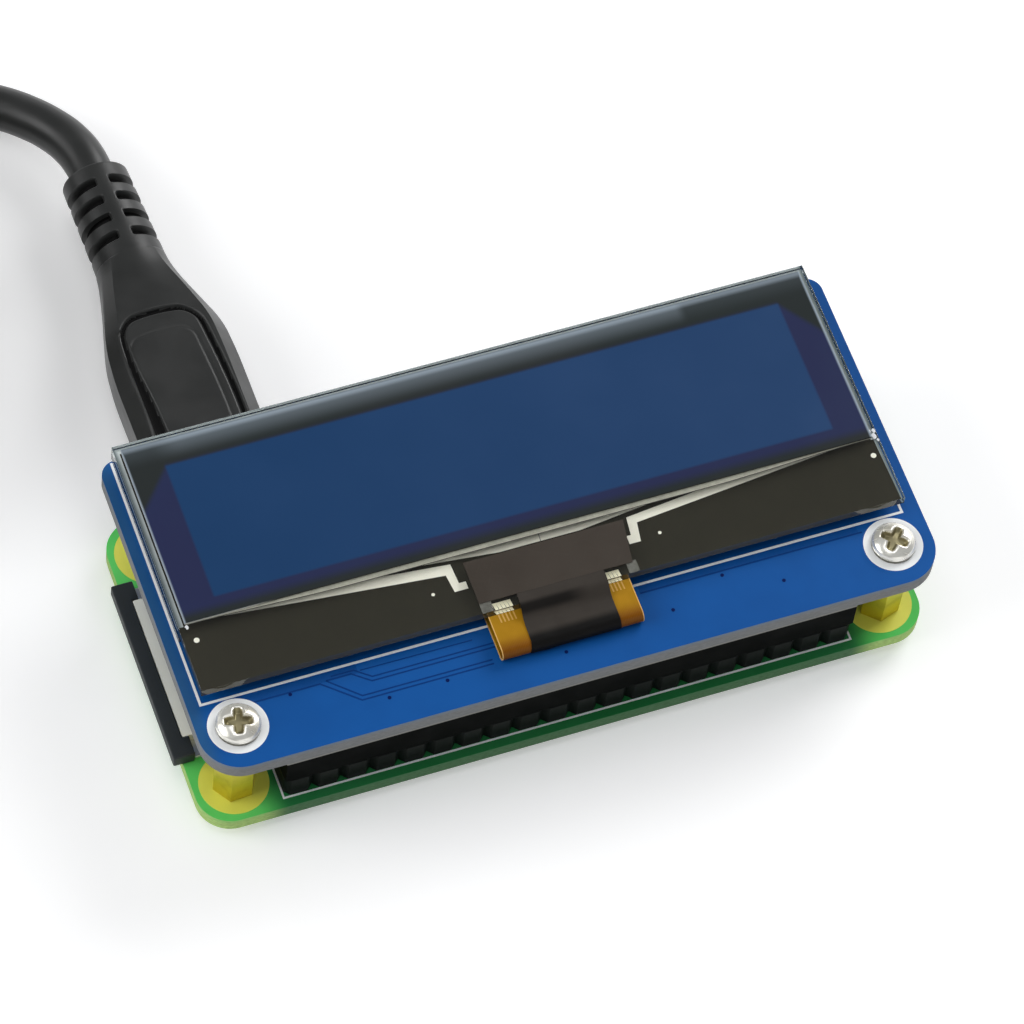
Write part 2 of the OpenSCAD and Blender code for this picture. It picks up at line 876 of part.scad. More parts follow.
module card_socket_tray()
{
    floor_t = 0.3;
    rail_w = 0.7;
    wall_gap = sheet_t + slip;
    inner_w = card_size[1] - 2 * wall_gap;
    rail_h = card_size[2] - wall_gap;
    left_x = board_right - card_size[0];
    color("black") place() translate([left_x + card_size[0] / 2, card_y, host_top]) union() {
        block([card_size[0], inner_w, floor_t]);
        for (side = [-1, 1])
            translate([0, side * (inner_w - rail_w) / 2, 0]) block([card_size[0], rail_w, rail_h]);
        translate([(rail_w - card_size[0]) / 2, 0, 0]) block([rail_w, inner_w, rail_h]);
    }
}

// Folded sheet over the tray, with two pressed windows
module card_socket_cover()
{
    window = [3, 1.4];
    window_y = 2.8;
    color("silver") place()
        translate([board_right - card_size[0] / 2, card_y, host_top]) difference() {
            block(card_size);
            translate([0, 0, -eps])
                block([card_size[0] + 2 * eps, card_size[1] - 2 * sheet_t, card_size[2] - sheet_t + eps]);
            for (side = [-1, 1])
                translate([0, side * window_y, card_size[2] - sheet_t - eps])
                    block([window[0], window[1], sheet_t + 2 * eps]);
        }
}

// ---------------------------------------------------------------- display panel

module panel_pad()
{
    pad_w = panel_back - rear_glass_front - 2 * pad_margin;
    color("white") place()
        translate([panel_x, (panel_back + rear_glass_front) / 2, display_top])
            block([panel_l - 2 * pad_margin, pad_w, pad_t]);
}

module panel_rear_glass()
{
    color("lightsteelblue") place()
        translate([panel_x, (panel_back + rear_glass_front) / 2, pad_top])
            block([panel_l, panel_back - rear_glass_front, rear_glass_t]);
}

module panel_front_glass()
{
    color("lightsteelblue") place()
        translate([panel_x, (panel_back + panel_front) / 2, ledge_bottom])
            block([panel_l, panel_w, front_glass_t]);
}

module panel_polarizer()
{
    front = panel_front + polarizer_front;
    back = panel_back - polarizer_margin;
    color("midnightblue") place()
        translate([panel_x, (front + back) / 2, glass_top])
            block([panel_l - 2 * polarizer_margin, back - front, polarizer_t]);
}

// ---------------------------------------------------------------- display flex

// Points of an arc around (fold_y, fold_z) in the YZ plane, one every fold_step degrees
fold_step = 15;
function arc_points(r, from, to) = [
    for (a = [from : (to > from ? fold_step : -fold_step) : to])
        [fold_y + r * cos(a), fold_z + r * sin(a)]
];

// Turns a drawn YZ outline into a solid of the given width, centred on x_middle
module across_x(x_middle, width)
{
    translate([x_middle - width / 2, 0, 0])
        rotate([90, 0, 90])
            linear_extrude(width) children();
}

// Outline of the folded film: along the ledge, around the fold and back along the board
module film_outline()
{
    inner_r = fold_r - flex_t;
    polygon(concat(
        [[panel_front + flex_bond, ledge_bottom]],
        arc_points(fold_r, 90, 270),
        [[panel_front + flex_return, display_top]],
        [[panel_front + flex_return, display_top + flex_t]],
        arc_points(inner_r, 270, 90),
        [[panel_front + flex_bond, ledge_bottom - flex_t]]
    ));
}

module flex_film()
{
    color("darkgoldenrod") place() across_x(flex_x, flex_w) film_outline();
}

// Outline of the narrow tape: over the edge of the ledge, down on the film and around the fold
module tape_outline()
{
    wrap_to = 195;
    edge_gap = 0.1;
    drop_l = 1;
    start_y = panel_front + tape_margin;
    edge_y = panel_front - edge_gap;
    landing_y = edge_y - drop_l;
    polygon(concat(
        [[start_y, glass_top], [edge_y, glass_top]],
        [[landing_y, ledge_bottom]],
        arc_points(fold_r, 90, wrap_to),
        arc_points(fold_r + tape_t, wrap_to, 90),
        [[landing_y, ledge_bottom + tape_t]],
        [[edge_y, glass_top + tape_t], [start_y, glass_top + tape_t]]
    ));
}

module flex_tape()
{
    wide_front = panel_front + tape_margin;
    color("darkslategray") place() union() {
        translate([tape_x, wide_front + tape_depth / 2, glass_top])
            block([tape_w, tape_depth, tape_t]);
        across_x(tape_narrow_x, tape_narrow_w) tape_outline();
    }
}

// The driver chip hangs under the film, inside the fold
module driver_chip()
{
    color("black") place()
        translate([
            tape_narrow_x,
            fold_y + driver_size[1] / 2,
            ledge_bottom - flex_t - driver_size[2],
        ]) block(driver_size);
}

// ---------------------------------------------------------------- lead

// Carries its children to the start of the leaning strain relief, from the plug's own axis
module at_neck()
{
    translate([relief_shift, plug_neck, 0])
        rotate([0, 0, relief_lean]) children();
}

// One thin slice of the tapering neck
module plug_section(section)
{
    slice = 0.1;
    translate([section[3], 0, 0])
        along_y(plug_taper_start + section[0] * plug_taper - slice, slice)
            rounded_outline(plug_w * section[1], plug_h * section[2], plug_corner_r, $fn = hull_fn);
}

// Moulded plug with a grooved grip, a tapering neck and a ribbed strain relief
module lead_plug_moulding()
{
    slice = 0.1;
    groove_w = 0.5;
    groove_depth = 0.45;
    grip_w = 6.8;
    grip_front = plug_front + 1;
    grip_back = plug_taper_start + plug_taper * 0.38;
    grip_l = grip_back - grip_front;
    grip_r = 1.6;
    relief_root = 0.5;
    relief_step = 0.08;
    rib_count = 4;
    rib_step = relief_l / (rib_count + 1);
    rib_w = 0.7;
    rib_depth = 0.5;
    color("dimgray") place() translate([power_x, 0, usb_z]) difference() {
        union() {
            along_y(plug_front, plug_straight) rounded_outline(plug_w, plug_h, plug_corner_r);
            for (i = [1 : len(neck_sections)]) hull() {
                plug_section(neck_sections[i - 1]);
                if (i < len(neck_sections))
                    plug_section(neck_sections[i]);
                else
                    at_neck() rotate([-90, 0, 0]) cylinder(h = slice, d = relief_d, $fn = hull_fn);
            }
            at_neck()
                translate([0, -relief_root, 0])
                    rotate([-90, 0, 0])
                        cylinder(
                            h = relief_l + relief_root,
                            r1 = relief_d / 2 - relief_step,
                            r2 = relief_end_d / 2,
                            $fn = round_fn
                        );
        }
        for (side = [-1, 1])
            translate([0, grip_front + grip_l / 2, side * (plug_h / 2 - groove_depth / 2)])
                linear_extrude(groove_depth + eps, center = true) difference() {
                    rounded_outline(grip_w, grip_l, grip_r);
                    rounded_outline(grip_w - 2 * groove_w, grip_l - 2 * groove_w, grip_r - groove_w);
                }
        for (i = [1 : rib_count], side = [-1, 1])
            at_neck()
                translate([side * relief_d / 2, i * rib_step, 0])
                    cube([2 * rib_depth, rib_w, relief_d / 2], center = true);
        along_y(plug_front - eps, tip_seat + eps)
            usb_outline(tip_w + 2 * strip_clear, tip_h + 2 * strip_clear, tip_cut);
    }
}

// How deep the metal tip is held in the moulding
tip_seat = 2;

module lead_plug_tip()
{
    wall_l = tip_l + tip_seat;
    inner_w = tip_w - 2 * sheet_t;
    inner_h = tip_h - 2 * sheet_t;
    contact_h = inner_h / 2 - tip_clear;
    start_y = plug_front - tip_l;
    color("silver") place() translate([power_x, 0, usb_z]) union() {
        difference() {
            along_y(start_y, wall_l) usb_outline(tip_w, tip_h, tip_cut);
            along_y(start_y - eps, tip_l + eps) usb_outline(inner_w, inner_h, tip_cut);
        }
        translate([0, start_y + tip_l / 2, -inner_h / 2 - eps])
            block([inner_w - 2 * tip_cut, tip_l, contact_h]);
    }
}

// Sum, difference and length of vectors for the swept tube
function unit(v) = v / norm(v);
function heading(p, i) =
    let (last = len(p) - 1)
        unit(p[min(i + 1, last)] - p[max(i - 1, 0)]);
function side_of(t) = unit(cross(t, [0, 0, 1]));
function ring_at(c, t, r, n) =
    let (s = side_of(t), u = cross(s, t))
        [for (k = [0 : n - 1]) let (a = 360 * (k + 0.5) / n) c + r * (cos(a) * s + sin(a) * u)];

// A closed tube swept along hand-set points
module swept_tube(p, d)
{
    n = lead_sides;
    last = len(p) - 1;
    r = d / 2 / cos(180 / n);
    points = [for (i = [0 : last]) each ring_at(p[i], heading(p, i), r, n)];
    walls = [
        for (i = [0 : last - 1], k = [0 : n - 1])
            [i * n + k, i * n + (k + 1) % n, (i + 1) * n + (k + 1) % n, (i + 1) * n + k]
    ];
    start_cap = [[for (k = [n - 1 : -1 : 0]) k]];
    end_cap = [[for (k = [0 : n - 1]) last * n + k]];
    polyhedron(points = points, faces = concat(start_cap, walls, end_cap), convexity = 6);
}

module lead_run()
{
    color("dimgray") place_lead() swept_tube(run_points, lead_d);
}

module lead_tail()
{
    color("dimgray") place_lead() swept_tube(tail_points, lead_d);
}

// Outer shape of the wound turns
module lead_coil()
{
    color("dimgray") place_lead() translate([coil_at[0], coil_at[1], coil_base])
        rotate_extrude($fn = round_fn)
            polygon([
                [coil_in + coil_bevel, 0],
                [coil_out - coil_bevel, 0],
                [coil_out, coil_bevel],
                [coil_out, coil_h - coil_bevel],
                [coil_out - coil_bevel, coil_h],
                [coil_in + coil_bevel, coil_h],
                [coil_in, coil_h - coil_bevel],
                [coil_in, coil_bevel],
            ]);
}

// Two straps around the section of the coil
module lead_ties()
{
    inner = [coil_w + 2 * tie_clear, coil_h];
    color("black") place_lead()
        for (turn = tie_turns)
            translate([coil_at[0], coil_at[1], 0])
                rotate([0, 0, turn])
                    translate([coil_r, 0, 0])
                        rotate([90, 0, 0])
                            linear_extrude(tie_w, center = true)
                                difference() {
                                    translate([-inner[0] / 2 - tie_t, 0])
                                        square([inner[0] + 2 * tie_t, inner[1] + 2 * tie_t]);
                                    translate([-inner[0] / 2, tie_t]) square(inner);
                                }
}

// Moulding of the far plug, lying on top of the coil
module lead_far_moulding()
{
    neck_share = 0.5;
    slice = 0.1;
    color("dimgray") place_lead() translate([far_x, 0, far_z]) difference() {
        union() {
            along_y(far_front, far_size[1]) rounded_outline(far_size[0], far_size[2], far_corner_r);
            hull() {
                along_y(far_front + far_size[1] - slice, slice)
                    rounded_outline(far_size[0] * neck_share, far_size[2] - far_corner_r, far_corner_r);
                along_y(far_back - slice, slice) circle(far_relief_d / 2, $fn = hull_fn);
            }
        }
        along_y(far_front - eps, far_seat + eps)
            square([far_tip[0] + 2 * strip_clear, far_tip[2] + 2 * strip_clear], center = true);
    }
}

// How deep the sleeve is held in the far moulding
far_seat = 2;

module lead_far_sleeve()
{
    hole = 2;
    hole_x = 2.8;
    hole_y = far_front - far_tip[1] / 2;
    start_y = far_front - far_tip[1];
    color("silver") place_lead() translate([far_x, 0, far_z]) difference() {
        along_y(start_y, far_tip[1] + far_seat) square([far_tip[0], far_tip[2]], center = true);
        along_y(start_y - eps, far_tip[1] + far_seat - sheet_t)
            square([far_tip[0] - 2 * sheet_t, far_tip[2] - 2 * sheet_t], center = true);
        for (side = [-1, 1])
            translate([side * hole_x, hole_y, 0])
                cube([hole, hole, far_tip[2] + 2 * eps], center = true);
    }
}

module lead_far_insert()
{
    start_y = far_front - far_tip[1] + 0.5;
    inner_w = far_tip[0] - 2 * sheet_t - 2 * slip;
    bottom = -far_tip[2] / 2 + sheet_t;
    color("white") place_lead()
        translate([far_x, start_y + far_tip[1] / 2, far_z + bottom])
            block([inner_w, far_tip[1], far_insert_t]);
}

host_board();
host_processor();
host_radio_chip();
host_crystal();
host_inductors();
host_capacitors();
host_resistors();
host_status_lamp();
pin_strip();
header_pins();
header_solder();
camera_connector_body();
camera_connector_latch();
camera_connector_contacts();
camera_connector_anchors();
video_socket_sleeve();
video_socket_insert();
power_socket_sleeve();
power_socket_insert();
data_socket_sleeve();
data_socket_insert();
card_socket_tray();
card_socket_cover();
bottom_screws();
spacers();
top_screws();
display_board();
board_socket_body();
board_socket_contacts();
display_capacitors();
display_resistors();
display_regulator();
panel_pad();
panel_rear_glass();
panel_front_glass();
panel_polarizer();
flex_film();
flex_tape();
driver_chip();
lead_plug_moulding();
lead_plug_tip();
lead_run();
lead_coil();
lead_ties();
lead_tail();
lead_far_moulding();
lead_far_sleeve();
lead_far_insert();
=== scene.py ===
"""Finishes, fine detail and the power lead of a small display module on a host board.

Lengths in this file are millimetres unless a name says otherwise. x and y count from
the middle of the host board, z from the surface that the module stands on.
"""

import math
import random

import bmesh
import bpy
from mathutils import Matrix, Vector


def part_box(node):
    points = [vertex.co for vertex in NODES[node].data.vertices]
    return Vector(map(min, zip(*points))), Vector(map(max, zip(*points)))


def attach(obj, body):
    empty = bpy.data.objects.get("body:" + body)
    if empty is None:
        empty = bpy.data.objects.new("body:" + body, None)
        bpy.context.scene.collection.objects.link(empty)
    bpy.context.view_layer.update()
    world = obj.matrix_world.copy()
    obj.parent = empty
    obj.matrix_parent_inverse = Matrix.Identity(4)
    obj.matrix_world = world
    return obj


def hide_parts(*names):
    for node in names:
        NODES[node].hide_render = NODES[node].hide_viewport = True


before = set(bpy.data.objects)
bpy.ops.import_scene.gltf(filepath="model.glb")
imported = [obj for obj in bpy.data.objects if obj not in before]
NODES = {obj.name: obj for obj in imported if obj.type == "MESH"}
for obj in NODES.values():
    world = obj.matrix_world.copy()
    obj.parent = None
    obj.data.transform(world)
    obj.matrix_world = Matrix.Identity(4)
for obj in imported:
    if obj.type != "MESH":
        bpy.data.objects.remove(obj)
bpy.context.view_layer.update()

MM = 0.001

# ------------------------------------------------------------------ places


HOST_LOW, HOST_HIGH = (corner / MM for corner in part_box("host_board"))
MIDDLE_X = (HOST_LOW.x + HOST_HIGH.x) / 2
MIDDLE_Y = (HOST_LOW.y + HOST_HIGH.y) / 2
HOST_UNDER, HOST_TOP = HOST_LOW.z, HOST_HIGH.z


def sides_of(node):
    """Left, right, front, back, under and top of a CAD node, from the middle of the host board."""
    low, high = (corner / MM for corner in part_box(node))
    return low.x - MIDDLE_X, high.x - MIDDLE_X, low.y - MIDDLE_Y, high.y - MIDDLE_Y, low.z, high.z


*_, BOARD_UNDER, BOARD_TOP = sides_of("display_board")
GLASS_LEFT, GLASS_RIGHT, GLASS_FRONT, GLASS_BACK, LEDGE_UNDER, GLASS_TOP = sides_of("panel_front_glass")
SHEET_LEFT, SHEET_RIGHT, SHEET_FRONT, SHEET_BACK, *_ = sides_of("panel_polarizer")
FILM_LEFT, FILM_RIGHT, *_ = sides_of("flex_film")
TAPE_LEFT, TAPE_RIGHT, *_ = sides_of("flex_tape")
COIL_LEFT, COIL_RIGHT, COIL_FRONT, COIL_BACK, COIL_UNDER, _ = sides_of("lead_coil")

PICTURE_LEFT, PICTURE_RIGHT, PICTURE_FRONT, PICTURE_BACK = -27.6, 27.4, -0.7, 12.35
LAYER = 0.03  # height of printed lines, pads and traces over their board
HOLE_X, HOLE_Y = 29.0, 11.5
FRONT_HOLES = [(-HOLE_X, -HOLE_Y), (HOLE_X, -HOLE_Y)]
BACK_HOLES = [(-HOLE_X, HOLE_Y), (HOLE_X, HOLE_Y)]


def spot(x, y, z):
    """A point in metres in the model's own frame."""
    return Vector((MIDDLE_X + x, MIDDLE_Y + y, z)) * MM


def put(name, data):
    """A new object in the scene."""
    thing = bpy.data.objects.new(name, data)
    bpy.context.scene.collection.objects.link(thing)
    return thing


# ------------------------------------------------------------------ camera


def make_camera():
    """Looks down at the panel from the front left, with a long lens and a slight roll."""
    turn, height, roll = math.radians(-27.29), math.radians(59.5), math.radians(8.8)
    distance = 471.4 * MM
    back = Vector((
        math.sin(turn) * math.cos(height),
        -math.cos(turn) * math.cos(height),
        math.sin(height),
    ))
    right = Vector((math.cos(turn), math.sin(turn), 0))
    axes = Matrix((right, back.cross(right), back)).transposed().to_4x4()
    data = bpy.data.cameras.new("camera")
    data.lens = 198.55
    data.sensor_width = 36
    data.clip_start = 0.01
    camera = put("camera", data)
    aim = spot(-1.24, -0.1, 14.8)
    camera.matrix_world = (
        Matrix.Translation(aim + back * distance) @ axes @ Matrix.Rotation(roll, 4, "Z")
    )
    bpy.context.scene.camera = camera


make_camera()

# ------------------------------------------------------------------ shader building


def srgb(red, green, blue):
    """A display colour, 0 to 255, as linear numbers."""

    def linear(v):
        v /= 255
        return v / 12.92 if v <= 0.04045 else ((v + 0.055) / 1.055) ** 2.4

    return (linear(red), linear(green), linear(blue), 1.0)


def feed(tree, target, value):
    """Sets a socket to a plain value, or joins another socket to it."""
    if isinstance(value, bpy.types.NodeSocket):
        tree.links.new(value, target)
    else:
        target.default_value = value


def add(tree, kind, values=None, **settings):
    """A new shader node with its settings, and its inputs given by name."""
    made = tree.nodes.new("ShaderNode" + kind)
    for key, value in settings.items():
        setattr(made, key, value)
    for key, value in (values or {}).items():
        feed(tree, made.inputs[key], value)
    return made


def calc(tree, operation, *values):
    """The result of one Math node."""
    made = add(tree, "Math", operation=operation)
    for socket, value in zip(made.inputs, values):
        feed(tree, socket, value)
    return made.outputs[0]


def vector_calc(tree, operation, *values):
    """The vector result of one Vector Math node."""
    made = add(tree, "VectorMath", operation=operation)
    for socket, value in zip(made.inputs, values):
        feed(tree, socket, value)
    return made.outputs[0]


def tint(tree, share, first, second):
    """first where share is 0 and second where it is 1."""
    made = add(tree, "Mix", data_type="RGBA")
    for index, value in ((0, share), (6, first), (7, second)):
        feed(tree, made.inputs[index], value)
    return made.outputs[2]


def ease(tree, value, low, high, start=0.0, end=1.0):
    """Runs smoothly from start to end as value goes from low to high."""
    made = add(tree, "MapRange", {
        "Value": value, "From Min": low, "From Max": high, "To Min": start, "To Max": end,
    }, interpolation_type="SMOOTHSTEP")
    return made.outputs[0]


def within(tree, value, low, high, soft):
    """1 between low and high, with soft edges."""
    rise = ease(tree, value, low - soft, low + soft)
    fall = ease(tree, value, high - soft, high + soft, 1.0, 0.0)
    return calc(tree, "MULTIPLY", rise, fall)


def noise(tree, vector, scale, detail=3.0, roughness=0.5):
    """The value of a noise texture."""
    made = add(tree, "TexNoise", {
        "Vector": vector, "Scale": scale, "Detail": detail, "Roughness": roughness,
    })
    return made.outputs["Fac"]


def place_in_mm(tree):
    """The point on the object, in millimetres from the middle of the host board."""
    point = add(tree, "TexCoord").outputs["Object"]
    moved = vector_calc(tree, "SUBTRACT", point, spot(0, 0, 0))
    return vector_calc(tree, "MULTIPLY", moved, (1 / MM,) * 3)


def split(tree, vector):
    """The three numbers of a vector."""
    return add(tree, "SeparateXYZ", {"Vector": vector}).outputs


def thrice(tree, value):
    """A vector of three equal numbers."""
    return add(tree, "CombineXYZ", dict.fromkeys("XYZ", value)).outputs[0]


def swing(tree, value, low, high):
    """Runs from low to high over the span that a noise covers."""
    return ease(tree, value, 0.3, 0.7, low, high)


def facing(tree):
    """The three numbers of the normal, and 1 on upright faces but 0 on level ones."""
    normal = split(tree, add(tree, "NewGeometry").outputs["Normal"])
    return normal, ease(tree, calc(tree, "ABSOLUTE", normal["Z"]), 0.5, 0.8, 1.0, 0.0)


def new_group(name, inputs, outputs):
    """A shader node group with named sockets: (name, "Float" or "Color", value)."""
    group = bpy.data.node_groups.new(name, "ShaderNodeTree")
    for label, kind, value in inputs:
        socket = group.interface.new_socket(name=label, in_out="INPUT", socket_type="NodeSocket" + kind)
        socket.default_value = value
    for label, kind in outputs:
        group.interface.new_socket(name=label, in_out="OUTPUT", socket_type="NodeSocket" + kind)
    return group, group.nodes.new("NodeGroupInput").outputs, group.nodes.new("NodeGroupOutput").inputs


def use_group(tree, group, values):
    """The outputs of a group placed in a material with its own values."""
    made = add(tree, "Group", node_tree=group)
    for key, value in values.items():
        feed(tree, made.inputs[key], value)
    return made.outputs


# ------------------------------------------------------------------ shared effects


def build_grain():
    """Fine speckle and slow patches that break up every plain surface."""
    group, given, result = new_group(
        "grain_and_patches",
        [("Grain Size", "Float", 0.2), ("Patch Size", "Float", 4.0)],
        [("Grain", "Float"), ("Patches", "Float")],
    )
    place = place_in_mm(group)
    fine = vector_calc(group, "DIVIDE", place, thrice(group, given["Grain Size"]))
    slow = vector_calc(group, "DIVIDE", place, thrice(group, given["Patch Size"]))
    feed(group, result["Grain"], noise(group, fine, 1.0, 4.0, 0.6))
    feed(group, result["Patches"], noise(group, slow, 1.0, 3.0, 0.5))
    return group


def build_toned():
    """A colour that drifts a little lighter and darker in patches."""
    group, given, result = new_group(
        "uneven_tone",
        [("Colour", "Color", (0.5, 0.5, 0.5, 1)), ("Patches", "Float", 0.5), ("Amount", "Float", 0.2)],
        [("Colour", "Color")],
    )
    offset = calc(group, "SUBTRACT", given["Patches"], 0.5)
    level = calc(group, "MULTIPLY_ADD", offset, calc(group, "MULTIPLY", given["Amount"], 2.0), 1.0)
    feed(group, result["Colour"], vector_calc(group, "MULTIPLY", given["Colour"], thrice(group, level)))
    return group


def build_scuffs():
    """Thin scratches in two directions, for handled plastic and metal."""
    group, given, result = new_group(
        "scuffs", [("Length", "Float", 3.0), ("Amount", "Float", 0.5)], [("Scuffs", "Float")]
    )
    place = place_in_mm(group)
    marks = []
    for turn in (0.5, 2.2):
        turned = add(group, "VectorRotate", {
            "Vector": place, "Axis": (0.1, 0.2, 1.0), "Angle": turn,
        }, rotation_type="AXIS_ANGLE").outputs[0]
        stretch = add(group, "CombineXYZ", {
            "X": calc(group, "DIVIDE", 1.0, given["Length"]), "Y": 9.0, "Z": 2.0,
        }).outputs[0]
        streak = noise(group, vector_calc(group, "MULTIPLY", turned, stretch), 1.0, 2.0, 0.5)
        marks.append(ease(group, streak, 0.62, 0.72))
    both = calc(group, "MAXIMUM", *marks)
    feed(group, result["Scuffs"], calc(group, "MULTIPLY", both, given["Amount"]))
    return group


def build_laminate():
    """A printed circuit board: lacquer over a fine weave on its faces, cut fibres on its edges."""
    group, given, result = new_group(
        "lacquered_laminate",
        [
            ("Lacquer", "Color", (0, 0.3, 0.1, 1)),
            ("Deep Lacquer", "Color", (0, 0.1, 0.05, 1)),
            ("Core", "Color", (0.5, 0.5, 0.4, 1)),
            ("Core Shade", "Color", (0.3, 0.3, 0.25, 1)),
            ("Rim", "Color", (0.2, 0.3, 0.4, 1)),
            ("Middle", "Float", 12.0),
        ],
        [("Colour", "Color"), ("Roughness", "Float"), ("Height", "Float"), ("Edge", "Float")],
    )
    place = place_in_mm(group)
    x, y, z = split(group, place)
    _, edge = facing(group)
    # the face: weave crowns a third of a millimetre apart, and slow drifts of depth
    weave = calc(
        group, "MULTIPLY",
        calc(group, "SINE", calc(group, "MULTIPLY", x, 14.0)),
        calc(group, "SINE", calc(group, "MULTIPLY", y, 14.0)),
    )
    drift = noise(group, place, 0.18, 3.0, 0.55)
    face = tint(group, ease(group, drift, 0.35, 0.7), given["Lacquer"], given["Deep Lacquer"])
    # the cut edge: layers of cloth, rough fibre ends and a dark rim of lacquer at the top face
    layered = add(group, "CombineXYZ", {
        "X": calc(group, "MULTIPLY", x, 2.2), "Y": calc(group, "MULTIPLY", y, 2.2),
        "Z": calc(group, "MULTIPLY", z, 9.0),
    }).outputs[0]
    fibres = noise(group, layered, 1.0, 3.0, 0.55)
    core = tint(group, swing(group, fibres, 0.0, 1.0), given["Core Shade"], given["Core"])
    near_top = ease(group, calc(group, "SUBTRACT", z, given["Middle"]), 0.1, 0.9, 0.0, 0.75)
    core = tint(group, near_top, core, given["Rim"])
    feed(group, result["Colour"], tint(group, edge, face, core))
    feed(group, result["Roughness"], ease(group, edge, 0.0, 1.0, 0.32, 0.8))
    feed(group, result["Height"], tint_value(group, edge, weave, calc(group, "MULTIPLY", fibres, 2.0)))
    feed(group, result["Edge"], edge)
    return group


def tint_value(tree, share, first, second):
    """first where share is 0 and second where it is 1, for plain numbers."""
    made = add(tree, "Mix", data_type="FLOAT")
    for index, value in ((0, share), (2, first), (3, second)):
        feed(tree, made.inputs[index], value)
    return made.outputs[0]


GRAIN = build_grain()
TONE = build_toned()
SCUFFS = build_scuffs()
LAMINATE = build_laminate()

# ------------------------------------------------------------------ finishes


def new_finish(name, **plain):
    """A material, its tree and its Principled BSDF with plain values set on its own sockets."""
    finish = bpy.data.materials.new(name)
    finish.use_nodes = True
    tree = finish.node_tree
    shader = tree.nodes["Principled BSDF"]
    for key, value in plain.items():
        shader.inputs[key.replace("_", " ")].default_value = value
    return finish, tree, shader


def dress(made, colour, rough, height, depth):
    """Joins colour, roughness and fine relief, its depth in millimetres, to a new finish."""
    finish, tree, shader = made
    feed(tree, shader.inputs["Base Color"], colour)
    feed(tree, shader.inputs["Roughness"], rough)
    bump = add(tree, "Bump", {"Strength": 1.0, "Distance": depth * MM, "Height": height})
    feed(tree, shader.inputs["Normal"], bump.outputs["Normal"])
    return finish


def speckle(tree, grain, patch):
    """Fine grain and slow patches of the given sizes in millimetres."""
    return use_group(tree, GRAIN, {"Grain Size": grain, "Patch Size": patch})


def uneven(tree, colour, marks, amount):
    """A colour that drifts lighter and darker with the patches."""
    values = {"Colour": colour, "Patches": marks["Patches"], "Amount": amount}
    return use_group(tree, TONE, values)["Colour"]


def worn_rough(tree, marks, worn, low, high, span_end=0.7, more=0.12):
    """Roughness that runs with the patches and rises along the scuffs."""
    gloss = ease(tree, marks["Patches"], 0.3, span_end, low, high)
    return calc(tree, "ADD", gloss, calc(tree, "MULTIPLY", worn, more))


def plastic(name, colour, rough=(0.38, 0.55), grain=0.12, depth=0.006, drift=0.12, scuff=0.35, **plain):
    """Moulded plastic with a spark-eroded skin, slow drifts of tone and light scuffs."""
    made = _, tree, _ = new_finish(name, **plain)
    marks = speckle(tree, grain, 3.5)
    worn = use_group(tree, SCUFFS, {"Length": 2.5, "Amount": scuff})["Scuffs"]
    lighter = tuple(min(1.0, c * 1.35 + 0.01) for c in colour[:3]) + (1.0,)
    shown = tint(tree, calc(tree, "MULTIPLY", worn, 0.5), uneven(tree, colour, marks, drift), lighter)
    return dress(made, shown, worn_rough(tree, marks, worn, *rough), marks["Grain"], depth)


def metal(
    name, colour, tarnish, rough=(0.2, 0.36), grain=0.08, depth=0.003, scuff=0.5, patch=1.6, metallic=1.0,
):
    """Plated metal with a faint tarnish, fine grain and scratches."""
    made = _, tree, _ = new_finish(name, Metallic=metallic)
    marks = speckle(tree, grain, patch)
    worn = use_group(tree, SCUFFS, {"Length": 1.2, "Amount": scuff})["Scuffs"]
    dulled = ease(tree, marks["Patches"], 0.45, 0.72, 0.0, 0.7)
    return dress(
        made, tint(tree, dulled, colour, tarnish), worn_rough(tree, marks, worn, *rough, 0.75, 0.1),
        calc(tree, "SUBTRACT", marks["Grain"], worn), depth)


def board_lacquer(name, *colours, middle, painted_middle_shade=None, painted_west_light=None):
    """One circuit board's finish; it can darken its middle with painted shade and darken one side with
    painted shade and reflection.
    """
    made = _, tree, _ = new_finish(name, Specular_IOR_Level=0.2)
    parts = zip(("Lacquer", "Deep Lacquer", "Core", "Core Shade", "Rim"), colours)
    board = use_group(tree, LAMINATE, dict(parts, Middle=middle))
    colour = board["Colour"]
    x = split(tree, place_in_mm(tree))["X"]
    # painted shade: the middle of the board, which lies under the display board, is darkened
    if painted_middle_shade:
        reach, soft, shade = painted_middle_shade
        share = ease(tree, calc(tree, "ABSOLUTE", x), reach, reach + soft, 1.0, 0.0)
    else:
        # painted shade and reflection: the lacquer past reach on one side turns darker and greyer
        reach, shade = painted_west_light
        on_face = ease(tree, board["Edge"], 0.0, 0.2, 1.0, 0.0)
        share = calc(tree, "MULTIPLY", ease(tree, x, reach, reach + 1.4, 1.0, 0.0), on_face)
    colour = vector_calc(tree, "MULTIPLY", colour, tint(tree, share, (1, 1, 1, 1), shade))
    return dress(made, colour, board["Roughness"], board["Height"], 0.0008)


def printed_ink(name, colour, rough=0.5, drift=0.1, gloss=0.5):
    """Screen-printed ink: slightly porous, with a ragged tone."""
    made = _, tree, _ = new_finish(name, Specular_IOR_Level=gloss)
    marks = speckle(tree, 0.06, 1.5)
    dull = swing(tree, marks["Grain"], rough - 0.08, rough + 0.1)
    return dress(made, uneven(tree, colour, marks, drift), dull, marks["Grain"], 0.004)


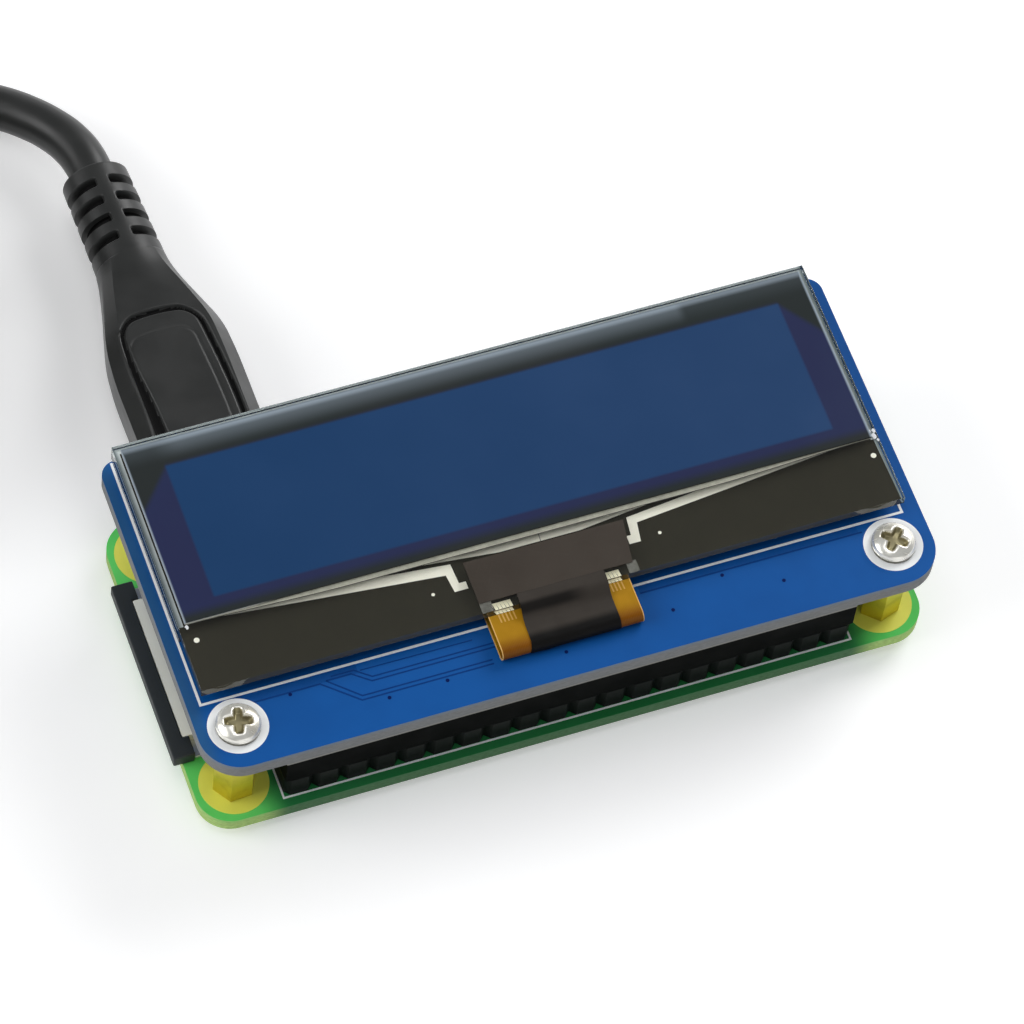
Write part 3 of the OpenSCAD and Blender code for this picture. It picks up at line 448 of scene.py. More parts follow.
def clear_glass():
    """Cut glass of the panel; lamps shine through it on to the layers below."""
    finish, tree, shader = new_finish("panel_glass_clear", IOR=1.5, Transmission_Weight=1.0)
    marks = speckle(tree, 0.25, 2.0)
    feed(tree, shader.inputs["Base Color"], tint(
        tree, marks["Patches"], srgb(250, 252, 252), srgb(244, 249, 247)))
    feed(tree, shader.inputs["Roughness"], ease(tree, marks["Patches"], 0.4, 0.7, 0.0, 0.02))
    clear = add(tree, "BsdfTransparent", {"Color": (0.96, 0.97, 0.97, 1)})
    mixed = add(tree, "MixShader")
    shadow = add(tree, "LightPath").outputs["Is Shadow Ray"]
    for socket, value in zip(mixed.inputs, (shadow, shader.outputs[0], clear.outputs[0])):
        tree.links.new(value, socket)
    tree.links.new(mixed.outputs[0], tree.nodes["Material Output"].inputs["Surface"])
    return finish


def polarizer_sheet():
    """The sheet over the panel: the blue picture area, a violet border and a dark olive frame. The blue is
    partly a painted reflection, and the edges carry painted highlights.
    """
    made = _, tree, _ = new_finish("polarizer_sheet", IOR=1.45, Specular_IOR_Level=0.35)
    x, y, _ = split(tree, place_in_mm(tree))
    marks = speckle(tree, 0.9, 9.0)
    # the picture area's blue is partly a painted reflection of a soft box on the dark panel; it runs
    # lighter towards the right
    blue = tint(tree, ease(tree, x, -30.0, 30.0), srgb(28, 62, 103), srgb(38, 67, 107))
    violet = tint(tree, ease(tree, marks["Patches"], 0.35, 0.65), srgb(41, 46, 79), srgb(40, 47, 80))
    olive = tint(tree, swing(tree, marks["Patches"], 0.0, 1.0), srgb(40, 46, 46), srgb(42, 46, 46))
    picture = calc(
        tree, "MULTIPLY",
        within(tree, x, PICTURE_LEFT, PICTURE_RIGHT, 0.16),
        within(tree, y, PICTURE_FRONT, PICTURE_BACK, 0.16),
    )
    # the violet border ends at the picture's back edge, with its two back corners cut off
    left_cut = calc(tree, "MULTIPLY_ADD", calc(tree, "ADD", x, 27.7), 1.2, 12.2)
    right_cut = calc(tree, "MULTIPLY_ADD", calc(tree, "SUBTRACT", x, 27.5), -1.33, 12.2)
    limit = calc(tree, "MINIMUM", calc(tree, "MINIMUM", left_cut, right_cut), 12.4)
    border = ease(tree, calc(tree, "SUBTRACT", limit, y), -0.4, 0.6)
    border = calc(tree, "MULTIPLY", border, ease(tree, y, -2.2, -1.1))
    colour = tint(tree, picture, tint(tree, border, olive, violet), uneven(tree, blue, marks, 0.08))
    # painted highlight along the sheet's edges, widest at the back between both ends
    from_back = calc(tree, "SUBTRACT", SHEET_BACK, y)
    ends = calc(
        tree, "MULTIPLY", ease(tree, x, -28.5, -25.5, 0.3, 1.0), ease(tree, x, 18.6, 19.6, 1.0, 0.25))
    glow = calc(tree, "MULTIPLY", ease(tree, from_back, 0.2, 2.3, 0.25, 0.0), ends)
    glow = calc(tree, "MULTIPLY", glow, ease(tree, from_back, 0.0, 0.2))
    glow = calc(tree, "ADD", glow, ease(tree, from_back, 0.15, 0.7, 0.42, 0.0))
    from_right = calc(tree, "SUBTRACT", SHEET_RIGHT, x)
    glow = calc(tree, "MAXIMUM", glow, ease(tree, from_right, 0.02, 0.24, 0.8, 0.0))
    from_left = calc(tree, "SUBTRACT", x, SHEET_LEFT)
    glow = calc(tree, "MAXIMUM", glow, ease(tree, from_left, 0.02, 0.2, 0.7, 0.0))
    colour = tint(tree, glow, colour, srgb(168, 182, 194))
    normal, edge = facing(tree)
    # painted highlights on the sheet's cut sides: pale on the left and right sides and at the left end of
    # the front and back sides, dark elsewhere
    painted_front_edge_light = tint(tree, ease(tree, x, -25.5, -22.5), srgb(216, 218, 214), srgb(40, 41, 40))
    rim = tint(tree, calc(tree, "ABSOLUTE", normal["X"]), painted_front_edge_light, srgb(176, 180, 190))
    rough = swing(tree, marks["Patches"], 0.16, 0.22)
    return dress(made, tint(tree, edge, colour, rim), rough, marks["Grain"], 0.0006)


def amber_film():
    """Flexible film: amber polyimide with fine conductors running along it, darker towards the fold as
    painted shade.
    """
    made = _, tree, _ = new_finish("amber_film", IOR=1.5, Specular_IOR_Level=0.15)
    x, y, _ = split(tree, place_in_mm(tree))
    marks = speckle(tree, 0.1, 1.2)
    rows = calc(tree, "SINE", calc(tree, "MULTIPLY", x, 45.0))
    # painted shade: the film darkens towards its fold, where it turns down away from the light
    base = tint(tree, ease(tree, y, -12.2, -10.6), srgb(122, 70, 0), srgb(168, 122, 14))
    colour = tint(tree, ease(tree, rows, 0.2, 0.9, 0.0, 0.06), base, srgb(206, 158, 40))
    half = (FILM_RIGHT - FILM_LEFT) / 2
    off_centre = calc(tree, "ABSOLUTE", calc(tree, "SUBTRACT", x, (FILM_LEFT + FILM_RIGHT) / 2))
    rim = ease(tree, off_centre, half - 0.09, half - 0.05)
    height = calc(tree, "ADD", marks["Grain"], calc(tree, "MULTIPLY", rows, 0.1))
    return dress(
        made, tint(tree, rim, uneven(tree, colour, marks, 0.15), srgb(226, 180, 104)),
        swing(tree, marks["Patches"], 0.36, 0.5), height, 0.003)


def tongue_tape():
    """The tape over the film: brown-black, with painted shade in the crease under the glass edge and near
    black painted shade over the fold.
    """
    made = _, tree, _ = new_finish("tongue_tape_painted_shade", Specular_IOR_Level=0.12)
    x, y, _ = split(tree, place_in_mm(tree))
    marks = speckle(tree, 0.5, 1.8)
    worn = ease(tree, marks["Patches"], 0.35, 0.65, 0.0, 0.25)
    flat = tint(tree, worn, srgb(60, 55, 50), srgb(50, 46, 42))
    # painted shade: darker in the crease under the glass edge and near black round the fold
    crease_shade = calc(tree, "MULTIPLY", within(tree, y, -9.5, -8.7, 0.25), ease(tree, x, 0.2, 2.6, 0.85, 0.0))
    dark = calc(tree, "MAXIMUM", crease_shade, ease(tree, y, -11.75, -10.9, 1.0, 0.0))
    rough = swing(tree, marks["Patches"], 0.5, 0.65)
    return dress(made, tint(tree, dark, flat, srgb(12, 11, 10)), rough, marks["Grain"], 0.008)


def cloudy_film(name, colour, alpha):
    """A thin clear or smoky film that lets what lies under it show."""
    finish, tree, shader = new_finish(name)
    marks = speckle(tree, 0.15, 0.8)
    feed(tree, shader.inputs["Base Color"], uneven(tree, colour, marks, 0.2))
    feed(tree, shader.inputs["Alpha"], ease(tree, marks["Patches"], 0.2, 0.8, *alpha))
    feed(tree, shader.inputs["Roughness"], swing(tree, marks["Grain"], 0.2, 0.4))
    return finish


def socket_nylon():
    """The socket strip's nylon: near black, with a pale band of painted light where it meets the display
    board.
    """
    made = _, tree, _ = new_finish("socket_nylon", Specular_IOR_Level=0.03)
    z = split(tree, place_in_mm(tree))["Z"]
    marks = speckle(tree, 0.12, 3.5)
    # painted light: the nylon is pale in a band at the top, where more light falls under the board's edge
    band = ease(tree, z, BOARD_UNDER - 2.95, BOARD_UNDER - 2.85)
    colour = uneven(tree, tint(tree, band, srgb(6, 8, 7), srgb(150, 150, 144)), marks, 0.15)
    return dress(made, colour, swing(tree, marks["Patches"], 0.6, 0.75), marks["Grain"], 0.006)


def edge_seal():
    """The pale bead of sealant between both glasses, cloudier towards the sheet; its pale colour is partly
    painted light seen through the glass edge.
    """
    made = _, tree, _ = new_finish("edge_seal")
    x, y, _ = split(tree, place_in_mm(tree))
    marks = speckle(tree, 0.12, 1.4)
    outwards = ease(tree, calc(tree, "ABSOLUTE", calc(tree, "ADD", x, 0.2)), 30.5, 31.0)
    outwards = calc(tree, "MAXIMUM", outwards, ease(tree, y, 15.05, 15.35, 0.0, 0.6))
    # partly painted light: the bead is pale where light shows through the glass edge, darker at its outer
    # rim
    colour = uneven(tree, tint(tree, outwards, srgb(196, 202, 202), srgb(84, 98, 100)), marks, 0.2)
    return dress(made, colour, swing(tree, marks["Grain"], 0.45, 0.65), marks["Grain"], 0.004)


FINISH = {
    # painted shade darkens the green board's middle; painted shade and reflection grey the blue board's
    # left strip
    "green_board": board_lacquer(
        "green_lacquer", srgb(106, 222, 110), srgb(88, 208, 98), srgb(190, 222, 136), srgb(158, 192, 112),
        srgb(140, 204, 116), middle=2.1, painted_middle_shade=(25.0, 3.0, (0.18, 0.28, 0.4, 1))),
    "blue_board": board_lacquer(
        "blue_lacquer", srgb(12, 84, 158), srgb(10, 80, 152), srgb(132, 134, 135), srgb(120, 122, 122),
        srgb(112, 130, 152), middle=12.0, painted_west_light=(-32.2, (4.4, 1.06, 0.74, 1))),
    "black_plastic": plastic("black_nylon", srgb(15, 19, 17), Specular_IOR_Level=0.06),
    "ivory_plastic": plastic("ivory_nylon", srgb(246, 246, 232), rough=(0.4, 0.5), drift=0.06, scuff=0.1),
    "chip_plastic": plastic("chip_epoxy", srgb(36, 37, 40), rough=(0.5, 0.65), grain=0.06, scuff=0.15),
    "ceramic": plastic("capacitor_ceramic", srgb(168, 138, 100), rough=(0.4, 0.55), grain=0.05, scuff=0.1),
    "sheet_metal": metal(
        "nickel_sheet", srgb(200, 200, 197), srgb(186, 185, 180), rough=(0.24, 0.34), scuff=0.35),
    "tin": metal(
        "solder_tin", srgb(206, 206, 202), srgb(150, 150, 146), rough=(0.28, 0.45), scuff=0.2, patch=0.6),
    "gold": metal("gold_plate", srgb(226, 182, 84), srgb(196, 150, 62), rough=(0.18, 0.3), scuff=0.3),
    "spacer_brass": metal(
        "brass_bar", srgb(206, 190, 52), srgb(176, 158, 36), rough=(0.3, 0.42), metallic=0.75),
    "screw_nickel": metal(
        "screw_nickel_plate", srgb(252, 250, 240), srgb(214, 208, 190), rough=(0.18, 0.3), metallic=0.62),
    "panel_glass": clear_glass(),
    "polarizer": polarizer_sheet(),
    "adhesive": plastic("foam_pad", srgb(52, 52, 54), rough=(0.8, 0.9), grain=0.1, depth=0.03, scuff=0.0),
    "film": amber_film(),
    "tape": plastic(
        "brown_black_tape", srgb(60, 53, 46), rough=(0.4, 0.55), grain=0.5, depth=0.01, drift=0.16,
        Specular_IOR_Level=0.2),
    "lead_rubber": plastic(
        "charcoal_rubber", srgb(37, 38, 37), rough=(0.34, 0.44), grain=0.07, depth=0.003, drift=0.06,
        scuff=0.1, Specular_IOR_Level=0.45, Sheen_Weight=0.12, Sheen_Roughness=0.35),
    "lamp": plastic("lamp_lens", srgb(186, 222, 168), rough=(0.2, 0.3), scuff=0.0),
}

# painted shade: the deep floor of the plug's groove gets this near-black rubber
GROOVE_SHADE_RUBBER = plastic(
    "groove_rubber_painted_shade", srgb(15, 15, 15), rough=(0.6, 0.7), depth=0.004, scuff=0.0, Specular_IOR_Level=0.1)
TONGUE_TAPE = tongue_tape()
SOCKET_NYLON = socket_nylon()
SEAL = edge_seal()
WHITE_INK = printed_ink("white_ink", srgb(248, 250, 250))
BLUE_TRACE = printed_ink("blue_trace_lacquer", srgb(0, 54, 120), rough=0.34, drift=0.1, gloss=0.15)
# painted shadow: darker lacquer in strips just in front of the ledge
BLUE_LEDGE_SHADOW = printed_ink("blue_lacquer_ledge_shadow", srgb(2, 72, 142), rough=0.34, drift=0.1, gloss=0.2)
BLUE_VIA = printed_ink("blue_via_lacquer", srgb(2, 24, 82), rough=0.34, gloss=0.1)
GREEN_TRACE = printed_ink("green_trace_lacquer", srgb(62, 172, 88), rough=0.34, drift=0.1)
GREEN_VIA = printed_ink("green_via_lacquer", srgb(18, 78, 42), rough=0.36)
LEDGE_BLACK = printed_ink("ledge_black", srgb(48, 46, 38), rough=0.7, drift=0.05, gloss=0.0)
SILVER = printed_ink("silver_conductor", srgb(238, 234, 218), rough=0.45, drift=0.03)
FILM_STRIPE = printed_ink("film_stripe", srgb(206, 160, 72), rough=0.4, drift=0.05)
RING_GOLD = printed_ink("ring_gold_flash", srgb(238, 238, 96), rough=0.34, drift=0.06)
FAN_GOLD = printed_ink("fan_gold", srgb(255, 248, 214), rough=0.3, drift=0.05)
ANCHOR_TIN = metal(
    "anchor_tin", srgb(226, 228, 226), srgb(196, 196, 192), rough=(0.3, 0.4), scuff=0.2, metallic=0.5)
LATCH_NYLON = plastic(
    "latch_nylon", srgb(44, 49, 51), rough=(0.5, 0.65), grain=0.2, depth=0.02, drift=0.2, scuff=0.2,
    Specular_IOR_Level=0.3)
# painted shade: the cross recess is a darker, warm plate and the head's side a darker plate
RECESS_SHADE = metal(
    "screw_recess_painted_shade", srgb(158, 150, 116), srgb(120, 112, 84), rough=(0.34, 0.5), metallic=0.8)
HEAD_SIDE_SHADE = metal("screw_side_painted_shade", srgb(120, 118, 108), srgb(84, 82, 74), rough=(0.24, 0.36))
SMOKY_FRINGE = cloudy_film("smoky_fringe", srgb(176, 176, 160), (0.72, 0.86))
FRINGE_LINE = printed_ink("fringe_line", srgb(44, 44, 40), rough=0.5)
CLEAR_TAB = cloudy_film("clear_tab", srgb(140, 140, 132), (0.12, 0.34))
# pale jagged patches on the glass top
PALE_GLASS_FLECKS = printed_ink("pale_glass_flecks", srgb(226, 228, 230), rough=0.3)

for node in NODES.values():
    slot = node.data.materials[0].name.split(".")[0]
    node.material_slots[0].material = FINISH[slot]
NODES["board_socket_body"].material_slots[0].material = SOCKET_NYLON
NODES["camera_connector_latch"].material_slots[0].material = LATCH_NYLON
NODES["camera_connector_anchors"].material_slots[0].material = ANCHOR_TIN

# ------------------------------------------------------------------ shape building


def offset_line(line, distance):
    """A line moved sideways by a distance, with its corners mitred."""
    moved = []
    for i, point in enumerate(line):
        here = Vector(point)
        before = here - Vector(line[i - 1]) if i else Vector(line[1]) - here
        after = Vector(line[i + 1]) - here if i + 1 < len(line) else before
        before, after = before.normalized(), after.normalized()
        side = Vector((-before.y - after.y, before.x + after.x)).normalized()
        reach = distance / max(0.3, side.dot(Vector((-before.y, before.x))))
        moved.append(tuple(here + side * reach))
    return moved


def circle(x, y, radius, sides):
    """Points round a circle, anticlockwise from its right."""
    turns = [2 * math.pi * i / sides for i in range(sides)]
    return [(x + radius * math.cos(a), y + radius * math.sin(a)) for a in turns]


class Shape:
    """Corners and faces gathered in millimetres, then made into one piece."""

    def __init__(self):
        self.points, self.faces, self.marks = [], [], []

    def add(self, points, faces, mark=0):
        first = len(self.points)
        self.points += [tuple(p) for p in points]
        self.faces += [[first + i for i in face] for face in faces]
        self.marks += [mark] * len(faces)

    def prism(self, outline, low, high, mark=0):
        k = len(outline)
        points = [(x, y, low) for x, y in outline] + [(x, y, high) for x, y in outline]
        faces = [list(range(k))[::-1], list(range(k, 2 * k))]
        faces += [[i, (i + 1) % k, k + (i + 1) % k, k + i] for i in range(k)]
        self.add(points, faces, mark)

    def block(self, low, high, mark=0):
        (x0, y0, z0), (x1, y1, z1) = low, high
        self.prism([(x0, y0), (x1, y0), (x1, y1), (x0, y1)], z0, z1, mark)

    def ring(self, x, y, inner, outer, low, high, mark=0, sides=64):
        corners = ((inner, low), (outer, low), (outer, high), (inner, high))
        points = [(*point, z) for radius, z in corners for point in circle(x, y, radius, sides)]
        faces = [
            [band * sides + i, band * sides + j, (band + 1) % 4 * sides + j, (band + 1) % 4 * sides + i]
            for band in range(4)
            for i, j in ((i, (i + 1) % sides) for i in range(sides))
        ]
        self.add(points, faces, mark)

    def disc(self, x, y, radius, low, high, mark=0, sides=20):
        self.prism(circle(x, y, radius, sides), low, high, mark)

    def strip(self, line, width, low, high, mark=0):
        left, right = offset_line(line, width / 2), offset_line(line, -width / 2)
        for i in range(len(line) - 1):
            self.prism([right[i], right[i + 1], left[i + 1], left[i]], low, high, mark)

    def sheet(self, rows, mark=0, closed=False):
        """A grid of points, row by row; closed joins each row's end to its start."""
        wide = len(rows[0])
        columns = wide if closed else wide - 1
        faces = [
            [r * wide + c, r * wide + (c + 1) % wide, (r + 1) * wide + (c + 1) % wide, (r + 1) * wide + c]
            for r in range(len(rows) - 1)
            for c in range(columns)
        ]
        self.add([p for row in rows for p in row], faces, mark)

    def tube(self, rows):
        """A closed skin through rows of points, with its two ends filled."""
        ends = [list(range(len(rows[0])))]
        self.sheet(rows, closed=True)
        self.add(rows[0], ends)
        self.add(rows[-1], ends)

    def piece(self, name, finishes, body="module", smooth=None, bevel=0.0, stands_for=()):
        mesh = bpy.data.meshes.new(name)
        mesh.from_pydata([spot(*p) for p in self.points], [], self.faces)
        for finish in finishes:
            mesh.materials.append(finish)
        mesh.polygons.foreach_set("material_index", self.marks)
        tidy = bmesh.new()
        tidy.from_mesh(mesh)
        bmesh.ops.recalc_face_normals(tidy, faces=tidy.faces)
        tidy.to_mesh(mesh)
        tidy.free()
        made = put(name, mesh)
        if smooth is not None:
            mesh.polygons.foreach_set("use_smooth", [True] * len(mesh.polygons))
            mesh.set_sharp_from_angle(angle=math.radians(smooth))
        if bevel:
            add_bevel(made, bevel)
        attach(made, body)
        if stands_for:
            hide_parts(*stands_for)
        return made


def add_bevel(thing, width, segments=2):
    """Softens the sharp edges of a piece."""
    bevel = thing.modifiers.new("soft_edges", "BEVEL")
    bevel.width = width * MM
    bevel.segments = segments
    bevel.limit_method = "ANGLE"
    bevel.angle_limit = math.radians(35)
    bevel.use_clamp_overlap = True


def soften(node, width, segments=2):
    """Rounds the moulded or stamped edges of a CAD node as it shows."""
    thing = NODES[node]
    weld = thing.modifiers.new("joined", "WELD")
    weld.merge_threshold = 0.002 * MM
    add_bevel(thing, width, segments)
    thing.modifiers.new("even_normals", "WEIGHTED_NORMAL")


def solids_of(node):
    """Lowest and highest corner of each separate solid in a CAD node, in millimetres."""
    gathered = bmesh.new()
    gathered.from_mesh(NODES[node].data)
    bmesh.ops.remove_doubles(gathered, verts=gathered.verts, dist=0.002 * MM)
    left, found = set(gathered.verts), []
    while left:
        heap, group = [left.pop()], []
        while heap:
            v = heap.pop()
            group.append(v.co.copy())
            for edge in v.link_edges:
                other = edge.other_vert(v)
                if other in left:
                    left.remove(other)
                    heap.append(other)
        low = Vector([min(p[i] for p in group) for i in range(3)]) / MM
        high = Vector([max(p[i] for p in group) for i in range(3)]) / MM
        shift = Vector((MIDDLE_X, MIDDLE_Y, 0))
        found.append((low - shift, high - shift))
    gathered.free()
    return sorted(found, key=lambda box: tuple(box[0]))


# ------------------------------------------------------------------ power lead

LEAD_D = 4.0
TURN_INNER, TURN_OUTER = 20.0, 24.0
COIL_X, COIL_Y = (COIL_LEFT + COIL_RIGHT) / 2, (COIL_FRONT + COIL_BACK) / 2
LAYER_Z = [COIL_UNDER + LEAD_D * (i + 0.5) for i in range(4)]
RELIEF_END = (-22.24, 48.09, 4.05)

RUN_POINTS = [
    RELIEF_END, (-22.45, 50.5, 4), (-23.05, 52.7, 3.8), (-24.1, 54.8, 3.45), (-25.6, 56.8, 3.1),
    (-27.6, 58.7, 2.8), (-30.3, 60.5, 2.5), (-33.5, 62.2, 2.3), (-36.9, 63.6, 2.2), (-40.3, 64.7, 2.3),
    (-43.7, 65.5, 2.5), (-46.5, 65.9, 2.65), (-49.5, 66, 2.7), (-53.5, 66, 2.7), (-58, 66, 2.7),
]
TAIL_POINTS = [
    (-64.5, 62.5, 14.8), (-68, 61.8, 14.8), (-71.3, 60.2, 14.8), (-74.1, 57.9, 14.9),
    (-76.4, 55.1, 15.1), (-78, 51.8, 15.6), (-79.1, 48.6, 16.4), (-79.2, 45.5, 16.6),
]


def smooth_share(value, low, high):
    """0 below low, 1 above high, and smooth between."""
    t = min(1.0, max(0.0, (value - low) / (high - low)))
    return t * t * (3 - 2 * t)


def coil_points():
    """Five turns beside and on top of each other; radius and layer change before a turn meets its start."""
    step, blend = 15, 52  # degrees between points, and over which a change is spread
    changes = [  # degrees wound, radius and height afterwards
        (400, TURN_INNER, LAYER_Z[0]), (710, TURN_INNER, LAYER_Z[1]), (1020, TURN_OUTER, LAYER_Z[1]),
        (1330, TURN_OUTER, LAYER_Z[2]), (1640, TURN_INNER, LAYER_Z[2]),
        (1818, TURN_INNER + 0.4, LAYER_Z[3] + 0.1),
    ]
    points = []
    wound = 90
    while wound <= 1878:
        radius, height = TURN_OUTER, LAYER_Z[0]
        for start, new_radius, new_height in changes:
            share = smooth_share(wound, start, start + blend)
            radius += (new_radius - radius) * share
            height += (new_height - height) * share
        angle = math.radians(wound)
        points.append((COIL_X + radius * math.cos(angle), COIL_Y + radius * math.sin(angle), height))
        wound += step
    return points


def make_lead():
    """The whole lead as one round curve: run, coil and tail."""
    route = [spot(*p) for p in RUN_POINTS + coil_points() + TAIL_POINTS]
    line = bpy.data.curves.new("power_lead", "CURVE")
    line.dimensions = "3D"
    line.bevel_depth = LEAD_D / 2 * MM
    line.bevel_resolution = 6
    line.resolution_u = 5
    line.use_fill_caps = True
    spline = line.splines.new("BEZIER")
    spline.bezier_points.add(len(route) - 1)
    for knot, point in zip(spline.bezier_points, route):
        knot.co = point
        knot.handle_left_type = knot.handle_right_type = "AUTO"
    line.materials.append(FINISH["lead_rubber"])
    lead = put("power_lead", line)
    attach(lead, "module")
    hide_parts("lead_run", "lead_coil", "lead_tail")
    return lead


def rounded_box_distance(x, y, half_x, half_y, radius):
    """Signed distance to a rounded rectangle's outline, below 0 inside."""
    dx, dy = abs(x) - half_x + radius, abs(y) - half_y + radius
    outside = math.hypot(max(dx, 0), max(dy, 0))
    return outside + min(max(dx, dy), 0) - radius


def cut_section(half_w, half_h, angle, round_share):
    """A point on the moulding's section: a box with cut corners that turns round towards the cord."""
    c, s = math.cos(angle), math.sin(angle)
    u, v = abs(c) / half_w, abs(s) / half_h
    power = 22
    boxy = (u ** power + v ** power + ((u + v) / 1.62) ** power) ** (-1 / power)
    oval = (u * u + v * v) ** -0.5
    reach = boxy + (oval - boxy) * round_share
    return reach * c, reach * s


def cut_corner_outline():
    """Points (x, z) round a box with cut corners, half sizes 1, and the places of its corners."""
    flat, side = 4.2 / 5.5, 1.7 / 3.5
    corners = [(1, side, 8), (flat, 1, 88), (-flat, 1, 8), (-1, side, 8)]
    corners += [(-1, -side, 8), (-flat, -1, 88), (flat, -1, 8), (1, -side, 8)]
    outline, creases = [], set()
    for i, (x, z, count) in enumerate(corners):
        x2, z2, _ = corners[(i + 1) % len(corners)]
        creases.add(len(outline))
        outline += [(x + (x2 - x) * k / count, z + (z2 - z) * k / count) for k in range(count)]
    return outline, creases


def make_plug_grip():
    """The moulded plug: cut-corner body, sunk groove round its pad, waist and slotted strain relief."""
    _, _, front, _, under, top = sides_of("lead_plug_moulding")
    centre_x, centre_z = -21.6, (under + top) / 2
    straight_end, neck, end = 26.5, 38.5, 48.09
    # y, width, height, sideways shift, share of roundness
    stations = [
        (front, 10.1, 6.1, 0, 0), (front + 0.12, 10.5, 6.5, 0, 0), (front + 0.35, 10.85, 6.87, 0, 0),
        (front + 0.7, 11, 7, 0, 0), (straight_end, 11.1, 7, -0.08, 0), (30.1, 10.6, 6.86, -0.05, 0),
        (33.94, 8.25, 6.44, -0.27, 0.05), (36.46, 6.9, 6.37, -0.4, 0.4), (neck, 6.4, 6.4, -0.3, 1),
        (neck + 0.3, 6.4, 6.4, -0.31, 1),
    ]
    slots_at = [1.9, 3.85, 5.8, 7.7]
    row_step, groove_deep, slot_deep, pad_deep, painted_shade_depth = 0.1, 0.42, 0.7, 0.05, 0.22
    lean = math.tan(math.radians(2))
    outline, creases = cut_corner_outline()
    around = len(outline)

    def station(y):
        """The section's numbers at y, evened out over the shoulders."""
        if not front + 2 < y < neck:
            return raw_station(y)
        near = [raw_station(y + step) for step in (-1.2, -0.8, -0.4, 0, 0.4, 0.8, 1.2)]
        return [sum(values) / len(near) for values in zip(*near)]

    def raw_station(y):
        if y >= neck + 0.3:
            side = 6.4 - 0.4 * (y - neck) / (end - neck)
            return side, side, -0.3 - (y - neck) * lean, 1
        for (y0, *a), (y1, *b) in zip(stations, stations[1:]):
            if y <= y1:
                t = (y - y0) / (y1 - y0)
                return [p + (q - p) * t for p, q in zip(a, b)]

    rows, sunk = [], []
    y = front
    while y < end:
        width, height, shift, round_share = station(y)
        row, depths = [], []
        for u, v in outline:
            angle = math.atan2(v, u)
            x = (u + (math.cos(angle) - u) * round_share) * width / 2
            z = (v + (math.sin(angle) - v) * round_share) * height / 2
            depth = 0.0
            if y < neck and abs(v) > 0.97:
                across = (x - 0.04 + 0.4 * smooth_share(y, 21, 31)) * 11 / width
                along = y + 0.035 * across * across - 24.7
                groove = abs(rounded_box_distance(across, along, 3.72, 7.1, 1.6))
                pad = abs(rounded_box_distance(across + 0.36, along + 0.55, 3.0, 5.6, 1.2))
                band = 0.04 + 0.3 * smooth_share(-across, 1.0, 3.4) * (1 - smooth_share(y, 18, 30))
                depth = groove_deep * (1 - smooth_share(groove, band, band + 0.36))
                depth = max(depth, pad_deep * (1 - smooth_share(pad, 0.0, 0.22)))
            if y > neck:
                for slot_y in slots_at:
                    cut = 1 - smooth_share(abs(y - neck - slot_y), 0.3, 0.44)
                    bridge = smooth_share(abs(math.cos(angle)), 0.16, 0.3)
                    depth = max(depth, slot_deep * cut * bridge)
            if y < neck:
                z -= math.copysign(depth, z)
            else:
                size = math.hypot(x, z)
                x, z = x * (size - depth) / size, z * (size - depth) / size
            row.append((centre_x + shift + x, y, centre_z + z))
            depths.append(depth)
        rows.append(row)
        sunk.append(depths)
        y += row_step
    shift = station(end)[2]
    angles = [math.atan2(v, u) for u, v in outline]
    closing = [
        [(centre_x + shift + r * math.cos(a), end, centre_z + r * math.sin(a)) for a in angles]
        for r in (2.95, 2.75)
    ]
    shape = Shape()
    shape.tube(rows + closing)
    # faces deeper than the threshold, on the groove's floor, take the darker rubber as painted shade
    for index in range((len(rows) - 1) * around):
        r, c = divmod(index, around)
        if min(sunk[r][c], sunk[r + 1][c], sunk[r][(c + 1) % around]) > painted_shade_depth:
            shape.marks[index] = 1
    grip = shape.piece(
        "plug_grip", [FINISH["lead_rubber"], GROOVE_SHADE_RUBBER], smooth=30,
        stands_for=["lead_plug_moulding"],
    )
    # the groove's walls blend into the body; only the body's own corners stay crisp
    body_end = sum(1 for row in rows if row[0][1] < neck - 1) * around
    for edge in grip.data.edges:
        a, b = edge.vertices
        along = a % around == b % around and a % around in creases
        if 2 * around < min(a, b) and max(a, b) < body_end and not along:
            edge.use_edge_sharp = False
    return grip


def make_far_grip():
    """The moulding of the far plug, with finger ribs on both faces."""
    around, row_step, rib_high, rib_pitch = 96, 0.2, 0.22, 2
    left, right, front, _, under, top = sides_of("lead_far_moulding")
    centre_x, centre_z = (left + right) / 2, (under + top) / 2
    body_end, end = 37.5, 45.5
    rows = []
    y = front
    while y <= end + 1e-6:
        t = smooth_share(y, body_end - 1.5, end - 1.5)
        lip = smooth_share(y, front, front + 0.8)
        width = (14.4 + 1.2 * lip) * (1 - t) + 6.4 * t
        height = (7.1 + 0.7 * lip) * (1 - t) + 6.4 * t
        rib = 0.0
        if front + 6 < y < front + 16:
            rib = rib_high * (0.5 - 0.5 * math.cos((y - front - 6) / rib_pitch * 2 * math.pi))
        row = []
        for k in range(around):
            angle = 2 * math.pi * (k + 0.5) / around
            x, z = cut_section(width / 2, height / 2, angle, t)
            flat = smooth_share(abs(z) / (height / 2), 0.9, 0.99) * (1 - t)
            row.append((centre_x + x, y, centre_z + z - math.copysign(rib * flat, z)))
        rows.append(row)
        y += row_step
    shape = Shape()
    shape.tube(rows)
    return shape.piece(
        "far_plug_grip", [FINISH["lead_rubber"]], smooth=40,
        stands_for=["lead_far_moulding"],
    )


lead = make_lead()
make_plug_grip()
far_grip = make_far_grip()

# ------------------------------------------------------------------ floor and light


